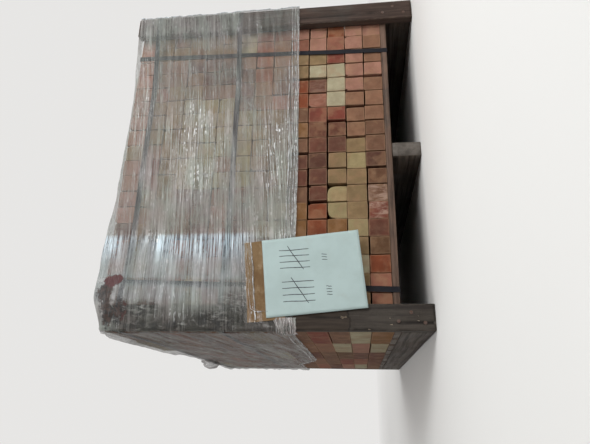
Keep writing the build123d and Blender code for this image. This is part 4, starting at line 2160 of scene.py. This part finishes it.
@dataclass
class Notice:
    """The card pad and the sheet of paper on the film, with a few tally strokes."""

    effects: SharedEffects
    card_width: float = 0.212
    card_height: float = 0.096
    card_place: Pair = (-0.381, 0.425)
    card_turn: float = math.radians(5.5)
    paper_width: float = 0.205
    paper_height: float = 0.255
    paper_thickness: float = 0.00025
    paper_place: Pair = (-0.365, 0.298)
    paper_turn: float = math.radians(5.7)
    ink_lift: float = 0.00012
    cockle: float = 0.0009
    curl: float = 0.0022
    end_wear: float = 0.0022
    edge_wear: float = 0.0016

    def onto(self, place: Pair, turn: float, u: float, v: float, y: float) -> Point:
        """A point of a turned upright rectangle, from its own u to the right and v up."""
        return (place[0] + u * math.cos(turn) - v * math.sin(turn), y,
                place[1] + u * math.sin(turn) + v * math.cos(turn))

    def on_paper(self, u: float, v: float, back: float) -> Point:
        """A point on or behind the paper's face: cockled, with its corners a little up.

        Args:
            u: The place to the right of the paper's middle.
            v: The place above it.
            back: How far behind the face the point is.

        Returns:
            The point.
        """
        corner = (abs(u) / (self.paper_width / 2)) ** 3 * (abs(v) / (self.paper_height / 2)) ** 3
        y = (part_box("paper_sheet")[0][1]
             + self.cockle * (0.5 + 0.5 * wobble(u * 14, v * 11, 2.0)) - self.curl * corner)
        return self.onto(self.paper_place, self.paper_turn, u, v, y + back)

    def card(self) -> Piece:
        """Makes the card pad.

        Returns:
            The piece.
        """
        low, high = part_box("card_pad")
        half = Vector((self.card_width / 2, (high[1] - low[1]) / 2, self.card_height / 2))
        points, faces, _ = box_lattice(-half, half, 0.006, 0.0004)
        placed = []
        for p in points:
            u, v = p.x, p.z
            if abs(p.x) > half.x * 0.97:
                u -= math.copysign(
                    self.end_wear * abs(wobble(v * 60, math.copysign(3.0, p.x))), p.x)
            if abs(p.z) > half.z * 0.97:
                v -= math.copysign(
                    self.edge_wear * abs(wobble(u * 50, math.copysign(5.0, p.z))), p.z)
            dent = 0.0007 * wobble(u * 30, v * 40, 1.0)
            placed.append(self.onto(self.card_place, self.card_turn, u, v,
                                    (low[1] + high[1]) / 2 + p.y * 0.8 + dent * 0.4))
        return settled(new_piece("card_panel", placed, faces, CardFinish(self.effects).build()),
                       "card", "card_pad")

    def paper(self) -> Piece:
        """Makes the sheet of paper as a thin closed leaf.

        Returns:
            The piece.
        """
        columns, rows = 26, 32
        tall, layer = rows + 1, (columns + 1) * (rows + 1)
        points = [self.on_paper((c / columns - 0.5) * self.paper_width,
                                (r / rows - 0.5) * self.paper_height, side * self.paper_thickness)
                  for side in (0, 1) for c in range(columns + 1) for r in range(tall)]
        faces = [face for front in grid_faces(columns, rows)
                 for face in (front, tuple(n + layer for n in reversed(front)))]
        rim = ([c * tall for c in range(columns)] + [columns * tall + r for r in range(rows)]
               + [c * tall + rows for c in range(columns, 0, -1)] + list(range(rows, 0, -1)))
        faces += [(b, a, a + layer, b + layer) for a, b in zip(rim, rim[1:] + rim[:1])]
        piece = new_piece("paper_leaf", points, faces, PaperFinish(self.effects).build(),
                          smooth_faces=True)
        return settled(piece, "paper", "paper_sheet")

    def tally(self) -> list[tuple[Pair, Pair, float]]:
        """The tally strokes: two counted groups and a short row below them.

        Returns:
            Each stroke's start and end on the paper, and half its width.
        """
        lines = []
        for start, top, tall, gap in ((-0.066, 0.082, 0.082, 0.017), (0.022, 0.084, 0.078, 0.016)):
            lines += [((start + n * gap, top), (start + n * gap - 0.004, top - tall), 0.0011)
                      for n in range(4)]
            lines.append(((start - 0.009, top - tall * 0.78),
                          (start + 3 * gap + 0.010, top - tall * 0.30), 0.0011))
        for start, top, count in ((-0.058, -0.030, 4), (0.034, -0.026, 3)):
            lines += [((start + 0.007 * n, top), (start - 0.002 + 0.007 * n, top - 0.014), 0.0009)
                      for n in range(count)]
        return lines

    def strokes(self) -> Piece:
        """Makes the tally strokes, as thin bands on the paper.

        Returns:
            The piece.
        """
        points, faces, steps = [], [], 16
        for number, (a, b, half) in enumerate(self.tally()):
            start, end = Vector(a), Vector(b)
            way = (end - start).normalized()
            side, first = Vector((-way.y, way.x)), len(points)
            for n in range(steps + 1):
                t = n / steps
                mid = start.lerp(end, t) + side * 0.0012 * wobble(t * 2.4, number * 3.7)
                wide = half * (0.75 + 0.25 * math.sin(math.pi * t)) * (
                    1 + 0.2 * wobble(t * 9, number))
                for edge in (-1, 1):
                    q = mid + side * (edge * wide)
                    points.append(self.on_paper(q.x, q.y, -self.ink_lift))
            faces += [(n, n + 2, n + 3, n + 1) for n in range(first, first + 2 * steps, 2)]
        piece = new_piece("tally_strokes", points, faces, InkFinish().build())
        return settled(piece, "paper")

    def build(self) -> list[Piece]:
        """Makes the card, the paper and the strokes."""
        return [self.card(), self.paper(), self.strokes()]


# ---- the studio


@dataclass(frozen=True)
class Lamp:
    """A soft rectangular lamp, aimed at a place."""

    name: str
    place: Point
    aim: Point
    size: Pair
    power: float
    colour: Point = (1.0, 1.0, 1.0)

    def build(self) -> None:
        """Puts the lamp into the scene."""
        data = bpy.data.lights.new(self.name, "AREA")
        data.shape, data.energy, data.color = "RECTANGLE", self.power, self.colour
        data.size, data.size_y = self.size
        lamp = bpy.data.objects.new(self.name, data)
        lamp.location = self.place
        lamp.rotation_mode = "QUATERNION"
        way = Vector(self.aim) - Vector(self.place)
        lamp.rotation_quaternion = way.to_track_quat("-Z", "Y")
        bpy.context.scene.collection.objects.link(lamp)


@dataclass
class Studio:
    """The camera, the floor, the lamps and the world."""

    camera_place: Point = (-0.68717, -1.85226, 0.18476)
    camera_right: Point = (0.02088, 0.12439, -0.99201)
    camera_up: Point = (0.93582, -0.35164, -0.0244)
    lens: float = 30.0985
    sensor: float = 36.0
    floor_half: float = 15.0
    ambient: float = 0.21
    lamps: tuple[Lamp, ...] = (
        Lamp("key", (1.7, -3.6, 2.6), (0.0, -0.5, 0.4), (2.4, 1.8), 88.0, (1.0, 0.985, 0.96)),
        Lamp("window", (1.25, -3.3, 1.25), (-0.3, -0.6, 0.62), (0.42, 1.9), 26.0,
             (0.86, 0.94, 1.0)),
        Lamp("fill", (-3.4, -1.6, 2.2), (0.0, 0.0, 0.5), (2.2, 2.2), 3.0, (1.0, 0.97, 0.93)),
        Lamp("top", (0.0, -0.6, 5.2), (0.0, -0.4, 0.0), (4.0, 4.0), 124.0),
        Lamp("back", (1.5, 3.6, 2.8), (0.0, 0.0, 0.5), (2.4, 2.0), 57.0))

    def camera(self) -> None:
        """Makes the camera, on its side as the photograph was taken."""
        data = bpy.data.cameras.new("camera")
        data.lens, data.sensor_width, data.sensor_fit = self.lens, self.sensor, "HORIZONTAL"
        data.clip_start, data.clip_end = 0.02, 100.0
        right, up = Vector(self.camera_right).normalized(), Vector(self.camera_up).normalized()
        turned = Matrix((right, up, right.cross(up).normalized())).transposed().to_4x4()
        turned.translation = Vector(self.camera_place)
        camera = bpy.data.objects.new("camera", data)
        camera.matrix_world = turned
        bpy.context.scene.collection.objects.link(camera)
        bpy.context.scene.camera = camera

    def floor(self) -> None:
        """Makes the floor."""
        corners = [(x * self.floor_half, y * self.floor_half, 0)
                   for x, y in ((-1, -1), (1, -1), (1, 1), (-1, 1))]
        new_piece("studio_floor", corners, [(0, 1, 2, 3)], FloorFinish().build())

    def world(self) -> None:
        """Makes an even world that looks pale behind the object."""
        world = bpy.data.worlds.new("studio_world")
        world.use_nodes = True
        bpy.context.scene.world = world
        graph = Graph(world.node_tree)
        world.node_tree.nodes.clear()
        lit, pale = [graph.out("ShaderNodeBackground", {"Color": colour, "Strength": strength})
                     for colour, strength in (((1, 1, 1), self.ambient),
                                              (BACKDROP, BACKDROP_STRENGTH))]
        graph.put("ShaderNodeOutputWorld", {"Surface": graph.out(
            "ShaderNodeMixShader", {0: graph.seen_ray(), 1: lit, 2: pale})})

    def build(self) -> None:
        """Sets the studio up."""
        self.camera()
        self.floor()
        self.world()
        for lamp in self.lamps:
            lamp.build()
        bpy.context.scene.view_settings.view_transform = "Standard"


def main() -> None:
    """Builds the studio and every sub-assembly, and reports the pieces."""
    logging.basicConfig(level=logging.INFO, format="%(message)s")
    Studio().build()
    effects, line = SharedEffects(), WrapLine()
    assemblies = {"skid": Skid(effects), "bars": BarLoad(effects), "posts": CornerPosts(effects),
                  "straps": Straps(effects, line), "film": FilmWrap(effects, line),
                  "notice": Notice(effects)}
    for name, assembly in assemblies.items():
        for piece in assembly.build():
            log.info("%s: %s, %d faces", name, piece.name, len(piece.data.polygons))


if __name__ == "__main__":
    main()
